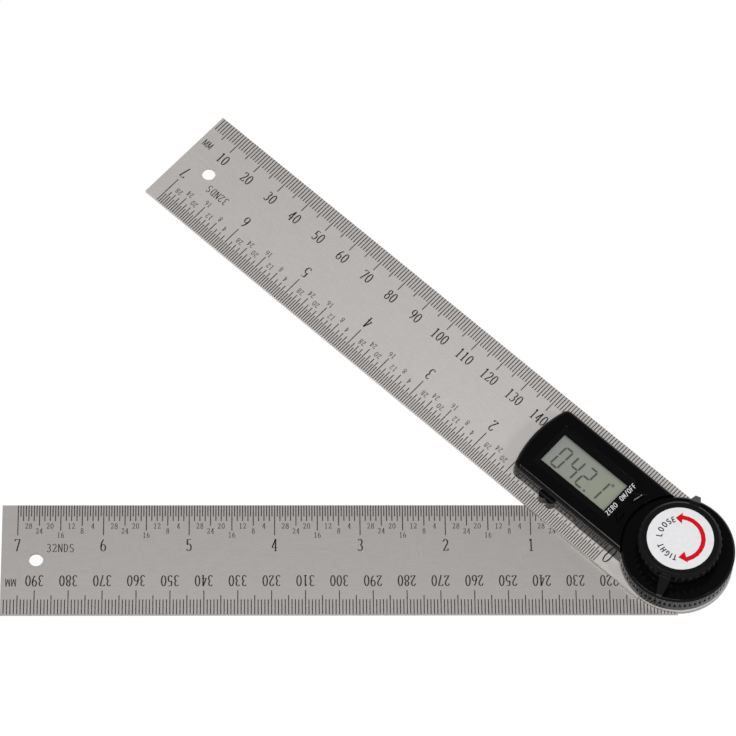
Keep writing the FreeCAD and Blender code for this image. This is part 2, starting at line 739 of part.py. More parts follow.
def build_key(label, mirror):
    """A triangular push key with a collar under the roof and a stem over its switch dome."""
    body = keep(new_body(label, UPPER))
    collar_top = f"({BOX_CEILING} - panel_gap)"
    collar = sketch_on(body, label + "_collar", f"{collar_top} - key_collar_thickness")
    add_outline(collar, key_corners(mirror, "key_collar"))
    pad(body, collar, "key_collar_thickness")
    cap = sketch_on(body, label + "_cap", collar_top)
    add_outline(cap, key_corners(mirror, "key_fit"))
    pad(body, cap, f"{BOX_TOP} - {collar_top}")
    crown = sketch_on(body, label + "_crown", BOX_TOP)
    add_outline(crown, key_corners(mirror, "key_fit"))
    pad(body, crown, "key_rise", taper="-key_bevel_angle")
    stem = sketch_on(body, label + "_stem", f"{BOARD_TOP} + dome_height")
    x, y = key_middle(mirror)
    add_rectangle(stem, f"{x} - key_stem_width / 2", f"{x} + key_stem_width / 2",
                  f"{y} - key_stem_width / 2", f"{y} + key_stem_width / 2")
    pad(body, stem, f"{collar_top} - key_collar_thickness - {BOARD_TOP} - dome_height")


def build_dome(label, mirror):
    dome = document.addObject("Part::Cone", label)
    dome.Label = label
    bind(dome, "Radius1", "dome_radius")
    bind(dome, "Radius2", "dome_top_radius")
    bind(dome, "Height", "dome_height")
    place_in_upper_frame(dome, *key_middle(mirror), BOARD_TOP)
    return keep(dome)


def place_in_upper_frame(item, x, y, z):
    """Places a Part primitive at a point that is given in the upper rule's own frame."""
    turn = "(opening_angle * 1 deg)"
    place(item, UPPER)
    bind(item, "Placement.Base.x", f"({x}) * cos{turn} + ({y}) * sin{turn}")
    bind(item, "Placement.Base.y", f"({y}) * cos{turn} - ({x}) * sin{turn}")
    bind(item, "Placement.Base.z", z)


def build_contacts():
    """Spring leaves for the cell: one behind its rim, one on its upper face."""
    rim = "cell_radius - cell_y + contact_gap"
    low = "-cell_x - contact_width / 2"
    positive = keep(new_body("positive_contact", UPPER))
    leaf = sketch_on(positive, "positive_leaf", f"{CELL_UNDERSIDE} + contact_gap")
    add_rectangle(leaf, low, f"{low} + contact_width", rim, f"{rim} + contact_thickness")
    pad(positive, leaf, f"{BOARD_UNDERSIDE} - {CELL_UNDERSIDE} - contact_gap")
    foot = sketch_on(positive, "positive_foot", f"{BOARD_UNDERSIDE} - contact_thickness")
    add_rectangle(foot, low, f"{low} + contact_width", rim, BOARD_HALF_WIDTH)
    pad(positive, foot, "contact_thickness")
    keep(block("negative_contact", low, "contact_width", "-cell_y - contact_width", "contact_width",
               f"{BOARD_UNDERSIDE} - contact_thickness", "contact_thickness", UPPER))


# ---------------------------------------------------------------- screws

def build_screw(name, x, y):
    """A countersunk screw, head down in the rule: a cone with the shank rising out of it."""
    head = document.addObject("Part::Cone", name + "_head")
    bind(head, "Radius1", SCREW_HEAD_RADIUS)
    bind(head, "Radius2", "screw_radius")
    bind(head, "Height", "blade_thickness")
    shank = document.addObject("Part::Cylinder", name + "_shank")
    bind(shank, "Radius", "screw_radius")
    bind(shank, "Height", "blade_thickness + screw_length - screw_clearance")
    place_in_upper_frame(head, x, y, UPPER_UNDERSIDE)
    place_in_upper_frame(shank, x, y, UPPER_UNDERSIDE)
    screw = document.addObject("Part::Fuse", name)
    screw.Base = head
    screw.Tool = shank
    return screw


def build_screws():
    group = document.addObject("Part::Compound", "housing_screws")
    group.Label = "housing_screws"
    group.Links = [build_screw(f"housing_screw_{name}", x, y)
                   for name, (x, y) in zip(("far", "near"), housing_screw_places())]
    keep(group)


# ---------------------------------------------------------------- battery drawer

def build_battery_drawer():
    body = keep(new_body("battery_drawer", UPPER))
    depth = f"{CELL_TOP} - {DRAWER_UNDERSIDE}"
    front = sketch_on(body, "drawer_front_half", DRAWER_UNDERSIDE)
    add_rectangle(front, f"-cell_x - {DRAWER_RADIUS}", f"-cell_x + {DRAWER_RADIUS}",
                  f"-{DRAWER_FRONT}", "-cell_y")
    pad(body, front, depth)
    back = sketch_on(body, "drawer_back_half", DRAWER_UNDERSIDE)
    add_circle(back, DRAWER_RADIUS, "-cell_x", "-cell_y")
    pad(body, back, depth)
    for name, side in (("left", "-"), ("right", "+")):
        grip = sketch_on(body, "drawer_grip_" + name, DRAWER_UNDERSIDE)
        add_circle(grip, "grip_radius", f"-cell_x {side} grip_spacing / 2", f"-{DRAWER_FRONT}")
        pad(body, grip, depth)
    cup = sketch_on(body, "cell_cup", CELL_TOP)
    add_circle(cup, "cell_radius + cell_clearance", "-cell_x", "-cell_y")
    pocket(body, cup, "cell_thickness")
    gap = sketch_on(body, "drawer_back_gap", CELL_TOP)
    add_rectangle(gap, f"-cell_x - {DRAWER_RADIUS}", f"-cell_x + {DRAWER_RADIUS}",
                  "drawer_open_back - cell_y", f"{DRAWER_RADIUS}")
    pocket(body, gap, "cell_thickness")


def build_coin_cell():
    """A coin cell: a can with a slightly smaller cap on its upper face."""
    body = keep(new_body("coin_cell", UPPER))
    can = sketch_on(body, "cell_can", CELL_UNDERSIDE)
    add_circle(can, "cell_radius", "-cell_x", "-cell_y")
    pad(body, can, "cell_thickness - cell_step")
    cap = sketch_on(body, "cell_cap", CELL_UNDERSIDE)
    add_circle(cap, "cell_radius - cell_rim", "-cell_x", "-cell_y")
    pad(body, cap, "cell_thickness")


# ---------------------------------------------------------------- lock knob

def build_lock_knob():
    body = keep(new_body("lock_knob", KNOB))
    section = sketch_on(body, "knob_section", plane="XZ")
    shoulder = f"{KNOB_UNDERSIDE} + knob_skirt_height"
    add_outline(section, [
        ("0", KNOB_BORE_TOP), ("stud_radius + stud_hole_clearance", KNOB_BORE_TOP),
        ("stud_radius + stud_hole_clearance", KNOB_UNDERSIDE), ("knob_skirt_radius", KNOB_UNDERSIDE),
        ("knob_skirt_radius", shoulder), ("knob_radius", shoulder),
        ("knob_radius", f"{KNOB_TOP} - knob_cap_chamfer"),
        ("knob_radius - knob_cap_chamfer", KNOB_TOP), ("label_radius + window_clearance", KNOB_TOP),
        ("label_radius + window_clearance", LABEL_SEAT), ("0", LABEL_SEAT)])
    revolve(body, section)
    tooth = sketch_on(body, "tooth_gap", shoulder)
    add_notch(tooth, "knob_radius", "tooth_gap_depth", "tooth_gap_width")
    gap = pocket(body, tooth, "knob_height - knob_skirt_height - knob_cap_height", upwards=True)
    repeat_about_pivot(body, gap, "tooth_count")
    build_wings(body)
    nut_seat = sketch_on(body, "insert_seat", KNOB_UNDERSIDE)
    add_hexagon(nut_seat, "insert_half_flats")
    pocket(body, nut_seat, "insert_sink + insert_length", upwards=True)


def build_wings(body):
    """Two opposite finger wings: waisted in plan, and falling from a knee down to a narrow tip."""
    knee_top = f"({KNOB_TOP} - wing_knee_drop)"
    tip_top = f"({KNOB_UNDERSIDE} + wing_tip_height)"
    plan = sketch_on(body, "wing_plan", KNOB_UNDERSIDE)
    slope = sketch_on(body, "wing_slope", plane="XZ")
    for side in ("", "-"):
        ends = [(f"{side}wing_{part}", f"wing_{part}_width / 2") for part in ("root", "knee", "tip")]
        below = [(x, f"-{half_width}") for x, half_width in ends]
        add_outline(plan, below + ends[::-1])
        add_outline(slope, [(f"{side}wing_knee", knee_top), (f"{side}wing_tip", tip_top),
                            (f"{side}wing_tip", knee_top)])
    pad(body, plan, f"{knee_top} - {KNOB_UNDERSIDE}")
    cut = pocket(body, slope, "wing_knee_width")
    cut.Midplane = True


def build_knob_fittings():
    insert = keep(new_body("knob_insert", KNOB))
    hexagon = sketch_on(insert, "insert_outline", f"{KNOB_UNDERSIDE} + insert_sink")
    add_hexagon(hexagon, "insert_half_flats")
    add_circle(hexagon, "stud_radius + thread_clearance")
    pad(insert, hexagon, "insert_length")
    keep(ring("thrust_washer", "washer_radius", "stud_radius + washer_clearance",
              HEAD_TOP, "thrust_washer_thickness", KNOB))
    label = keep(new_body("knob_label", KNOB))
    disc = sketch_on(label, "knob_label_outline", LABEL_SEAT)
    add_circle(disc, "label_radius")
    pad(label, disc, "label_thickness")


# ---------------------------------------------------------------- build and write

build_lower_blade()
build_pivot_hub()
build_rotor()
build_upper_blade()
build_pivot_bush()
build_housing()
build_display()
build_circuit_board()
build_key("on_off_key", "")
build_key("zero_key", "-")
build_dome("on_off_dome", "")
build_dome("zero_dome", "-")
build_contacts()
build_screws()
build_battery_drawer()
build_coin_cell()
build_lock_knob()
build_knob_fittings()
document.recompute()

for item in document.Objects:
    if "Invalid" in item.State or "Error" in item.State:
        raise RuntimeError(f"{item.Name} failed to compute: {item.State}")
for piece in pieces:
    if piece.Shape.isNull() or not piece.Shape.isValid():
        raise RuntimeError(f"{piece.Label} has no valid shape")

os.makedirs("parts", exist_ok=True)
for piece in pieces:
    piece.Shape.exportStep(f"parts/{piece.Label}.step")
    print(f"{piece.Label}: {len(piece.Shape.Solids)} solid(s), {piece.Shape.Volume:.1f} mm3")
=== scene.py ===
"""Looks of the digital angle rule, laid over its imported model: engraved scales on the two rules,
the liquid crystal display and its window lettering, the lock knob's label, and every finish.

All sizes are in metres, in the model's own frame. Engraved and printed marks are flat meshes that
lie just over the surface that carries them. Three shapes are added to the model: a skin over the
housing's far end, the slim ribs on the keys and the rounded faces of the knob's teeth.
"""

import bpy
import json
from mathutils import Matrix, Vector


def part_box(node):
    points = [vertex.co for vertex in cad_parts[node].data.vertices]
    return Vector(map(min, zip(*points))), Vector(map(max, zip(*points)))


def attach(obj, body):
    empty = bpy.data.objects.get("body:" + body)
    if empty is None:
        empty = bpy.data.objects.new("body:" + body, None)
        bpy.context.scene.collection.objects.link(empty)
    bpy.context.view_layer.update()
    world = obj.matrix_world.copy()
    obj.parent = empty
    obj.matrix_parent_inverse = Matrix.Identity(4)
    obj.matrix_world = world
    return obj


bl_info = {
    "name": "Digital angle rule finishes",
    "version": (1, 0, 0),
    "blender": (4, 5, 0),
    "location": "View3D > Sidebar > Angle rule",
    "description": "Adds the scales, display, label and finishes of a digital angle rule",
    "category": "Object",
}

import json
import math
from functools import partialmethod

import bmesh
import bpy
from bpy.props import FloatProperty, FloatVectorProperty, IntProperty, PointerProperty, StringProperty
from bpy.types import Operator, Panel, PropertyGroup
from mathutils import Matrix, Vector

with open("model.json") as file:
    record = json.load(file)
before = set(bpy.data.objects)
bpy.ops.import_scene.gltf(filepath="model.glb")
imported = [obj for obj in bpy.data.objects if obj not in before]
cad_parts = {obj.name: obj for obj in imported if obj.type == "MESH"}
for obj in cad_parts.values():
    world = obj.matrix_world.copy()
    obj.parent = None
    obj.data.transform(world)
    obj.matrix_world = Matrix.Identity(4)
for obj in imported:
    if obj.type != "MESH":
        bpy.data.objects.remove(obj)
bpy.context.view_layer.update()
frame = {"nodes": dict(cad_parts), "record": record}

MM = 0.001
INCH = 25.4 * MM
MARK_LIFT = 0.02 * MM
BRASS = (0.72, 0.52, 0.22)

mounts = {mount["name"]: mount for mount in frame["record"]["mounts"]}
upper_hole = mounts["upper_hanging_hole"]["pos_m"]
OPENING_ANGLE = math.atan2(upper_hole[1], -upper_hole[0])
RULE_LENGTH = -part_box("lower_blade")[0].x
RULE_HALF_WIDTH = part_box("lower_blade")[1].y
HEAD_WALL = 3 * MM
HEAD_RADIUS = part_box("rotor_disc")[1].x + HEAD_WALL


# ---- shader building

class Signal:
    """One output in a material's node tree. Python's operators add the Math nodes that work on it."""

    def __init__(self, shader, socket):
        self.shader = shader
        self.socket = socket

    def math(self, operation, *values):
        inputs = dict(enumerate((self, *values)))
        return self.shader.node("ShaderNodeMath", {"operation": operation}, inputs)

    def reflected(self, operation, other):
        """Where the plain number or other value stands to the left of the sign."""
        return self.shader.node("ShaderNodeMath", {"operation": operation}, {0: other, 1: self})

    __add__ = __radd__ = partialmethod(math, "ADD")
    __mul__ = __rmul__ = partialmethod(math, "MULTIPLY")
    __sub__, __rsub__ = partialmethod(math, "SUBTRACT"), partialmethod(reflected, "SUBTRACT")
    __truediv__, __rtruediv__ = partialmethod(math, "DIVIDE"), partialmethod(reflected, "DIVIDE")
    __pow__, __rpow__ = partialmethod(math, "POWER"), partialmethod(reflected, "POWER")
    __lt__, __gt__ = partialmethod(math, "LESS_THAN"), partialmethod(math, "GREATER_THAN")
    __abs__ = partialmethod(math, "ABSOLUTE")

    def between(self, low, high):
        """0 at low and 1 at high, straight in between and level outside."""
        inputs = {"Value": self, "From Min": low, "From Max": high}
        return self.shader.node("ShaderNodeMapRange", {"clamp": True}, inputs)


class Shader:
    """The node tree of one material, or of the world."""

    def __init__(self, name, world=False):
        self.owner = (bpy.data.worlds if world else bpy.data.materials).new(name)
        self.owner.use_nodes = True
        self.tree = self.owner.node_tree
        self.tree.nodes.clear()
        self.output_kind = "ShaderNodeOutputWorld" if world else "ShaderNodeOutputMaterial"

    def node(self, kind, settings=None, inputs=None, output=0):
        """One output of a node of any kind: its settings, then the values or links of its sockets."""
        node = self.tree.nodes.new(kind)
        for name, setting in (settings or {}).items():
            if name == "stops":
                self.set_stops(node.color_ramp, setting)
            else:
                setattr(node, name, setting)
        for key, entry in (inputs or {}).items():
            if isinstance(entry, Signal):
                self.tree.links.new(entry.socket, node.inputs[key])
            else:
                node.inputs[key].default_value = entry
        return Signal(self, node.outputs[output]) if node.outputs else None

    def set_stops(self, ramp, stops):
        for _ in range(len(stops) - 2):
            ramp.elements.new(0.5)
        for element, (place, colour) in zip(ramp.elements, stops):
            element.position = place
            element.color = colour

    def place(self, stretch=(1, 1, 1), turn=0.0):
        """The point on the resting object, turned about Z and stretched."""
        point = self.node("ShaderNodeTexCoord", output="Object")
        turned = self.node("ShaderNodeVectorRotate", {"rotation_type": "Z_AXIS"},
                           {"Vector": point, "Angle": turn})
        return self.node("ShaderNodeVectorMath", {"operation": "MULTIPLY"}, {0: turned, 1: stretch})

    def axes(self, place):
        return [self.node("ShaderNodeSeparateXYZ", None, {0: place}, axis) for axis in "XYZ"]

    def upper_rule_axes(self):
        """x along the upper rule and y across it."""
        return self.axes(self.place(turn=OPENING_ANGLE))[:2]

    def noise(self, scale, detail, roughness=0.5, place=None):
        """Noise over the resting object, or over a place of its own."""
        inputs = {"Vector": place or self.place(), "Scale": scale, "Detail": detail,
                  "Roughness": roughness}
        return self.node("ShaderNodeTexNoise", None, inputs)

    def blend(self, share, first, second):
        """A colour between two colours."""
        inputs = {"Factor": share, 6: first, 7: second}
        return self.node("ShaderNodeMix", {"data_type": "RGBA"}, inputs, 2)

    def bump(self, height, depth, rounding=None):
        """A bump, over edges that shade as if they were rounded where a radius is given."""
        inputs = {"Height": height, "Distance": depth}
        if rounding:
            inputs["Normal"] = self.node("ShaderNodeBevel", {"samples": 6}, {"Radius": rounding})
        return self.node("ShaderNodeBump", None, inputs)

    def surface(self, **inputs):
        """The finished material. Each keyword is a Principled BSDF socket's name in snake case."""
        named = {name.replace("_", " ").title().replace("Ior", "IOR"): entry
                 for name, entry in inputs.items()}
        return self.finish(self.node("ShaderNodeBsdfPrincipled", None, named))

    def finish(self, result):
        """Leads a shader to the output, and gives the material or world that now shows it."""
        self.node(self.output_kind, None, {"Surface": result})
        return self.owner


def rgb(colour):
    """A colour as sockets take it, with its alpha."""
    return (*colour, 1.0)


def shade(colour, factor):
    return rgb([channel * factor for channel in colour])


# ---- finishes

def rule_steel(name, colour, turn):
    """Satin rule steel: short hair lines along the rule, mottled marks and handling scratches."""
    shader = Shader(name)
    hair = shader.noise(1.0, 2.0, place=shader.place((300, 9000, 400), turn))
    speckle = shader.noise(3200.0, 2.0)
    scratch = shader.noise(1.0, 2.0, 0.6, shader.place((90, 2600, 90), turn + 1.4)).between(0.64, 0.72)
    cloud = shader.noise(420.0, 5.0, 0.6, shader.place((0.6, 1, 1), turn))
    grain = (hair + speckle) / 2
    tint = shader.blend(grain.between(0.35, 0.65), shade(colour, 0.94), shade(colour, 1.05))
    tint = shader.blend(cloud.between(0.42, 0.7) * 0.4, tint, shade(colour, 0.86))
    tint = shader.blend(scratch * 0.3, tint, shade(colour, 1.2))
    rough = cloud.between(0.3, 0.7) * 0.04 + hair * 0.06 + 0.42
    return shader.surface(base_color=tint, metallic=0.45, roughness=rough,
                          normal=shader.bump(hair + scratch * 0.5, 0.004 * MM))


def turned_metal(name, colour, roughness):
    """Metal turned in a lathe: fine rings about the pivot axis."""
    shader = Shader(name)
    x, y, z = shader.axes(shader.place())
    radius = (x * x + y * y) ** 0.5
    turned = shader.node("ShaderNodeCombineXYZ", None, {"X": radius, "Z": z})
    ring = shader.noise(5000.0, 2.0, place=turned)
    cloud = shader.noise(300.0, 3.0)
    tint = shader.blend(ring.between(0.3, 0.7), shade(colour, 0.88), shade(colour, 1.06))
    return shader.surface(base_color=tint, metallic=1.0, roughness=cloud * 0.12 + roughness,
                          normal=shader.bump(ring, 0.004 * MM))


def sheet_metal(name, colour, roughness):
    """Pressed or plated sheet metal: even, with a slight grain and faint rub marks."""
    shader = Shader(name)
    grain = shader.noise(1800.0, 3.0)
    rub = shader.noise(1.0, 3.0, place=shader.place((400, 90, 90), 0.6))
    tint = shader.blend(grain.between(0.3, 0.7), shade(colour, 0.92), shade(colour, 1.05))
    return shader.surface(base_color=tint, metallic=1.0, roughness=rub * 0.15 + roughness,
                          normal=shader.bump(grain, 0.003 * MM))


def gloss_plastic(name, colour, shine=0.22):
    """Polished moulded plastic: a faint unevenness of the mould, and haze where fingers rub it."""
    shader = Shader(name)
    wave = shader.noise(140.0, 2.0)
    haze = shader.noise(60.0, 4.0).between(0.45, 0.75)
    tint = shader.blend(haze * 0.4, rgb(colour), shade(colour, 1.35))
    return shader.surface(base_color=tint, roughness=haze * 0.07 + 0.12, specular_ior_level=shine,
                          normal=shader.bump(wave, 0.006 * MM, 0.25 * MM))


def satin_plastic(name, colour):
    """Spark-eroded moulded plastic: a fine grain that scatters the light, paler where it is rubbed."""
    shader = Shader(name)
    grain = shader.noise(5200.0, 2.0, 0.6)
    worn = shader.noise(110.0, 4.0).between(0.45, 0.75)
    tint = shader.blend(worn * 0.5, rgb(colour), shade(colour, 1.3))
    return shader.surface(base_color=tint, roughness=grain * 0.12 + 0.3, specular_ior_level=0.13,
                          normal=shader.bump(grain, 0.012 * MM, 0.25 * MM))


def moulded_nylon(name, colour):
    """Pale plastic that is neither polished nor rough: washers and label film."""
    shader = Shader(name)
    grain = shader.noise(900.0, 3.0)
    tint = shader.blend(grain.between(0.3, 0.7), shade(colour, 0.94), rgb(colour))
    return shader.surface(base_color=tint, roughness=grain * 0.15 + 0.45,
                          normal=shader.bump(grain, 0.006 * MM))


def window_sheet(name, middle, half_length, half_width):
    """A clear sheet with a black border printed on it: clear within half_length and half_width."""
    shader = Shader(name)
    x, y = shader.upper_rule_axes()
    beside = abs(x - middle.x).between(half_length - 0.05 * MM, half_length + 0.05 * MM)
    above = abs(y - middle.y).between(half_width - 0.05 * MM, half_width + 0.05 * MM)
    border = beside.math("MAXIMUM", above)
    smear = shader.noise(120.0, 4.0)
    tint = shader.blend(smear, rgb((0.003, 0.003, 0.0033)), rgb((0.004, 0.004, 0.0045)))
    return shader.surface(base_color=tint, roughness=smear * 0.06 + 0.07, specular_ior_level=0.35,
                          alpha=border * 0.94 + 0.06)


def display_glass(name, colour, low, high, frame_edge):
    """The reflective back of a liquid crystal panel, with a faint sparkle. low and high are its ends
    along the rule: it is bluer at the far one. Painted shade darkens it towards its frame's edge, as a
    shadow of that edge."""
    shader = Shader(name)
    sparkle = shader.noise(6000.0, 1.0)
    x, y = shader.upper_rule_axes()
    far = rgb((colour[0] * 0.93, colour[1] * 0.9, colour[2] * 1.1))
    tint = shader.blend((x - y * 0.8).between(low, high), far, rgb(colour))
    tint = shader.blend(sparkle.between(0.3, 0.7) * 0.3, tint, shade(colour, 0.85))
    # Painted shadow of the frame's edge on the panel: the nearer to that edge, the darker.
    painted_frame_shadow = y.between(frame_edge - 1.0 * MM, frame_edge + 0.1 * MM)
    tint = shader.blend(painted_frame_shadow * painted_frame_shadow * 0.8, tint, shade(colour, 0.25))
    return shader.surface(base_color=tint, roughness=sparkle * 0.1 + 0.35)


def printed_ink(name, colour, roughness=0.5, wear=0.15):
    """Ink or etched fill: slightly uneven in depth of colour."""
    shader = Shader(name)
    patch = shader.noise(2200.0, 3.0, 0.6)
    paler = rgb([channel + (0.5 - channel) * 0.35 for channel in colour])
    tint = shader.blend(patch.between(0.45, 0.85) * wear, rgb(colour), paler)
    return shader.surface(base_color=tint, roughness=patch * 0.1 + roughness, specular_ior_level=0.15)


def circuit_board(name, colour, copper):
    """Solder mask over copper: fine radial pads about the pivot and straight tracks elsewhere."""
    shader = Shader(name)
    x, y = shader.upper_rule_axes()
    radius = (x * x + y * y) ** 0.5
    pads = (y.math("ARCTAN2", x) * (96 / math.pi)).math("FRACT") < 0.5
    in_ring = (radius > 8.5 * MM) * (radius < 13.5 * MM)
    tracks = ((y / (0.9 * MM)).math("FRACT") < 0.3) * (radius > 15 * MM)
    metal = (pads * in_ring).math("MAXIMUM", tracks)
    grain = shader.noise(1500.0, 2.0)
    tint = shader.blend(metal, rgb(colour), rgb(copper))
    tint = shader.blend(grain * 0.2, tint, shade(colour, 0.6))
    return shader.surface(base_color=tint, roughness=grain * 0.15 + 0.3)


def striped_rubber(name, colour):
    """Connector rubber: thin conducting layers, one beside the other along the strip."""
    shader = Shader(name)
    x = shader.upper_rule_axes()[0]
    layer = (x / (0.18 * MM)).math("FRACT") < 0.5
    grain = shader.noise(1500.0, 2.0)
    tint = shader.blend(layer, shade(colour, 0.5), shade(colour, 1.5))
    return shader.surface(base_color=tint, roughness=grain * 0.1 + 0.6,
                          normal=shader.bump(grain, 0.01 * MM))


def dress(nodes, material):
    """Gives a finish to CAD nodes, in every slot that they have."""
    for name in nodes.split():
        mesh = frame["nodes"][name].data
        if not mesh.materials:
            mesh.materials.append(material)
        for index in range(len(mesh.materials)):
            mesh.materials[index] = material


# ---- pieces

def linked(name, data):
    """A new object in the scene."""
    holder = bpy.data.objects.new(name, data)
    bpy.context.scene.collection.objects.link(holder)
    return holder


def mesh_data(name, mesh):
    """The mesh of a bmesh, which is freed."""
    data = bpy.data.meshes.new(name)
    mesh.to_mesh(data)
    mesh.free()
    return data


def add_piece(data, placement, body, material):
    """A mesh as a piece of its own name, put in its place, that rides on a body."""
    data.materials.append(material)
    piece = linked(data.name, data)
    piece.matrix_world = placement
    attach(piece, body)


def join_rings(mesh, rings, closed=False):
    """Faces between each ring of corners and the next. A closed ring also joins its two ends."""
    for low, high in zip(rings, rings[1:]):
        for side in range(len(low) - (not closed)):
            after = (side + 1) % len(low)
            mesh.faces.new([low[side], low[after], high[after], high[side]])


# ---- marks on a surface

ARC_STEP = 15
SHARP_CORNER = math.radians(50)


def flat_piece(name, faces, placement, body, material):
    """A mesh of flat faces, each a list of (x, y) points, laid on a surface by its placement."""
    mesh = bmesh.new()
    for points in faces:
        mesh.faces.new([mesh.verts.new((x, y, 0)) for x, y in points])
    bmesh.ops.recalc_face_normals(mesh, faces=mesh.faces)
    for face in mesh.faces:
        if face.normal.z < 0:
            face.normal_flip()
    add_piece(mesh_data(name, mesh), placement, body, material)


def bar(x, y, width, height):
    """An upright rectangle centred on x, from y up to y + height."""
    left, right = x - width / 2, x + width / 2
    return [(left, y), (right, y), (right, y + height), (left, y + height)]


def arc(x, y, across, up, start, end):
    """Points along an ellipse's arc, from the start angle to the end angle in degrees."""
    steps = max(4, round(abs(end - start) / ARC_STEP))
    angles = [math.radians(start + (end - start) * step / steps) for step in range(steps + 1)]
    return [(x + across * math.cos(angle), y + up * math.sin(angle)) for angle in angles]


# How each kind of mark is written, in millimetres: a character's width, the step to the next one,
# and the width and height of the pen's nib.
STYLES = {"millimetre": (1.55, 1.9, 0.42, 0.2), "MM": (1.4, 1.72, 0.24, 0.17),
          "inch": (1.75, 0, 0.44, 0.19), "0": (2.2, 0, 0.44, 0.19),
          "part": (0.9, 1.17, 0.2, 0.13), "32NDS": (1.3, 1.68, 0.28, 0.17),
          "ON/OFF": (0.86, 1.13, 0.23, 0.21), "ZERO": (0.9, 1.18, 0.23, 0.21),
          "label": (1.05, 0, 0.35, 0.33)}

# Pen strokes of each character in a box 1 wide and 1 high.
GLYPHS = {
    "0": [arc(0.5, 0.5, 0.4, 0.46, 90, 450)],
    "1": [[(0.52, 0), (0.52, 0.98), (0.24, 0.84)], [(0.2, 0.03), (0.84, 0.03)]],
    "2": [arc(0.47, 0.72, 0.36, 0.24, 170, -40) + [(0.12, 0.04)],
          [(0.1, 0.06), (0.88, 0.06), (0.92, 0.2)]],
    "3": [arc(0.46, 0.74, 0.34, 0.22, 150, -90), arc(0.46, 0.27, 0.38, 0.25, 90, -150)],
    "4": [[(0.66, 0), (0.66, 0.98), (0.06, 0.28), (0.96, 0.28)], [(0.42, 0.03), (0.9, 0.03)]],
    "5": [[(0.86, 0.95), (0.24, 0.95), (0.19, 0.54)], arc(0.46, 0.31, 0.4, 0.28, 135, -150)],
    "6": [arc(0.5, 0.28, 0.38, 0.26, 180, -180), arc(0.78, 0.3, 0.66, 0.66, 180, 104)],
    "7": [[(0.1, 0.82), (0.12, 0.95), (0.9, 0.95), (0.38, 0)]],
    "8": [arc(0.5, 0.75, 0.31, 0.21, 90, 450), arc(0.5, 0.27, 0.38, 0.25, 90, 450)],
    "9": [arc(0.5, 0.72, 0.38, 0.26, 0, 360), arc(0.22, 0.7, 0.66, 0.66, 0, -76)],
    "D": [[(0.14, 0.02), (0.14, 0.98)] + arc(0.3, 0.5, 0.58, 0.46, 90, -90) + [(0.14, 0.04)]],
    "E": [[(0.86, 0.95), (0.16, 0.95), (0.16, 0.05), (0.88, 0.05)], [(0.16, 0.5), (0.74, 0.5)]],
    "F": [[(0.88, 0.95), (0.16, 0.95), (0.16, 0)], [(0.16, 0.5), (0.76, 0.5)]],
    "G": [arc(0.54, 0.5, 0.44, 0.46, 50, 320) + [(0.9, 0.45), (0.56, 0.45)]],
    "H": [[(0.12, 0), (0.12, 1)], [(0.88, 0), (0.88, 1)], [(0.12, 0.5), (0.88, 0.5)]],
    "I": [[(0.5, 0), (0.5, 1)]],
    "L": [[(0.2, 1), (0.2, 0.05), (0.88, 0.05)]],
    "M": [[(0.06, 0), (0.12, 1), (0.5, 0.1), (0.88, 1), (0.94, 0)]],
    "N": [[(0.12, 0), (0.12, 0.98), (0.88, 0.02), (0.88, 1)]],
    "O": [arc(0.5, 0.5, 0.44, 0.46, 90, 450)],
    "R": [[(0.14, 0), (0.14, 0.95), (0.5, 0.95)] + arc(0.56, 0.72, 0.32, 0.23, 80, -90)
          + [(0.14, 0.49)], [(0.5, 0.49), (0.92, 0)]],
    "S": [arc(0.5, 0.74, 0.36, 0.22, 30, 270) + arc(0.5, 0.27, 0.38, 0.25, 90, -150)],
    "T": [[(0.5, 0), (0.5, 0.95)], [(0.04, 0.95), (0.96, 0.95)]],
    "Z": [[(0.08, 0.95), (0.9, 0.95), (0.1, 0.05), (0.92, 0.05)]],
    "/": [[(0.1, -0.05), (0.9, 1.05)]],
}


def smooth_runs(points):
    """The stretches of a path between its sharp corners."""
    points = [Vector(point) for point in points]
    runs = [[points[0]]]
    for before, here, after in zip(points, points[1:], points[2:]):
        runs[-1].append(here)
        if (here - before).angle(after - here, 0.0) > SHARP_CORNER:
            runs.append([here])
    runs[-1].append(points[-1])
    return runs


def stroke(points, across, along):
    """A pen stroke as one face per step. The nib is an ellipse: across wide and along high."""
    faces = []
    for run in smooth_runs(points):
        rims = []
        for index, point in enumerate(run):
            step = (run[min(index + 1, len(run) - 1)] - run[max(index - 1, 0)]).normalized()
            normal = Vector((-step.y, step.x))
            reach = normal * math.hypot(across * normal.x, along * normal.y) / 2
            rims.append((tuple(point + reach), tuple(point - reach)))
        for (left, right), (next_left, next_right) in zip(rims, rims[1:]):
            faces.append([left, right, next_right, next_left])
    return faces


def shifted(faces, x, y, turn=0.0):
    """The faces turned about the origin and then moved."""
    c, s = math.cos(turn), math.sin(turn)
    return [[(x + c * px - s * py, y + s * px + c * py) for px, py in face] for face in faces]


def text_faces(text, x, y, height, style, slant=0.0):
    """A line of characters centred on the point x, y."""
    width, advance, *pen = [length * MM for length in STYLES[style]]
    start = x - advance * (len(text) - 1) / 2
    faces = []
    for index, letter in enumerate(text):
        glyph = []
        for path in GLYPHS[letter]:
            points = [((px - 0.5) * width + slant * py * height, py * height) for px, py in path]
            glyph += stroke(points, *pen)
        faces += shifted(glyph, start + index * advance, y - height / 2)
    return faces


# ---- settings

# A setting's kind comes from the function that makes it: a length in metres, an angle or a colour.

def length_of(name, description, default):
    return FloatProperty(name=name, description=description, default=default, unit="LENGTH")


def angle_of(name, description, degrees):
    return FloatProperty(name=name, description=description, default=math.radians(degrees), subtype="ANGLE")


def colour_of(name, description, default):
    return FloatVectorProperty(name=name, description=description, default=default, subtype="COLOR",
                               min=0, max=1)


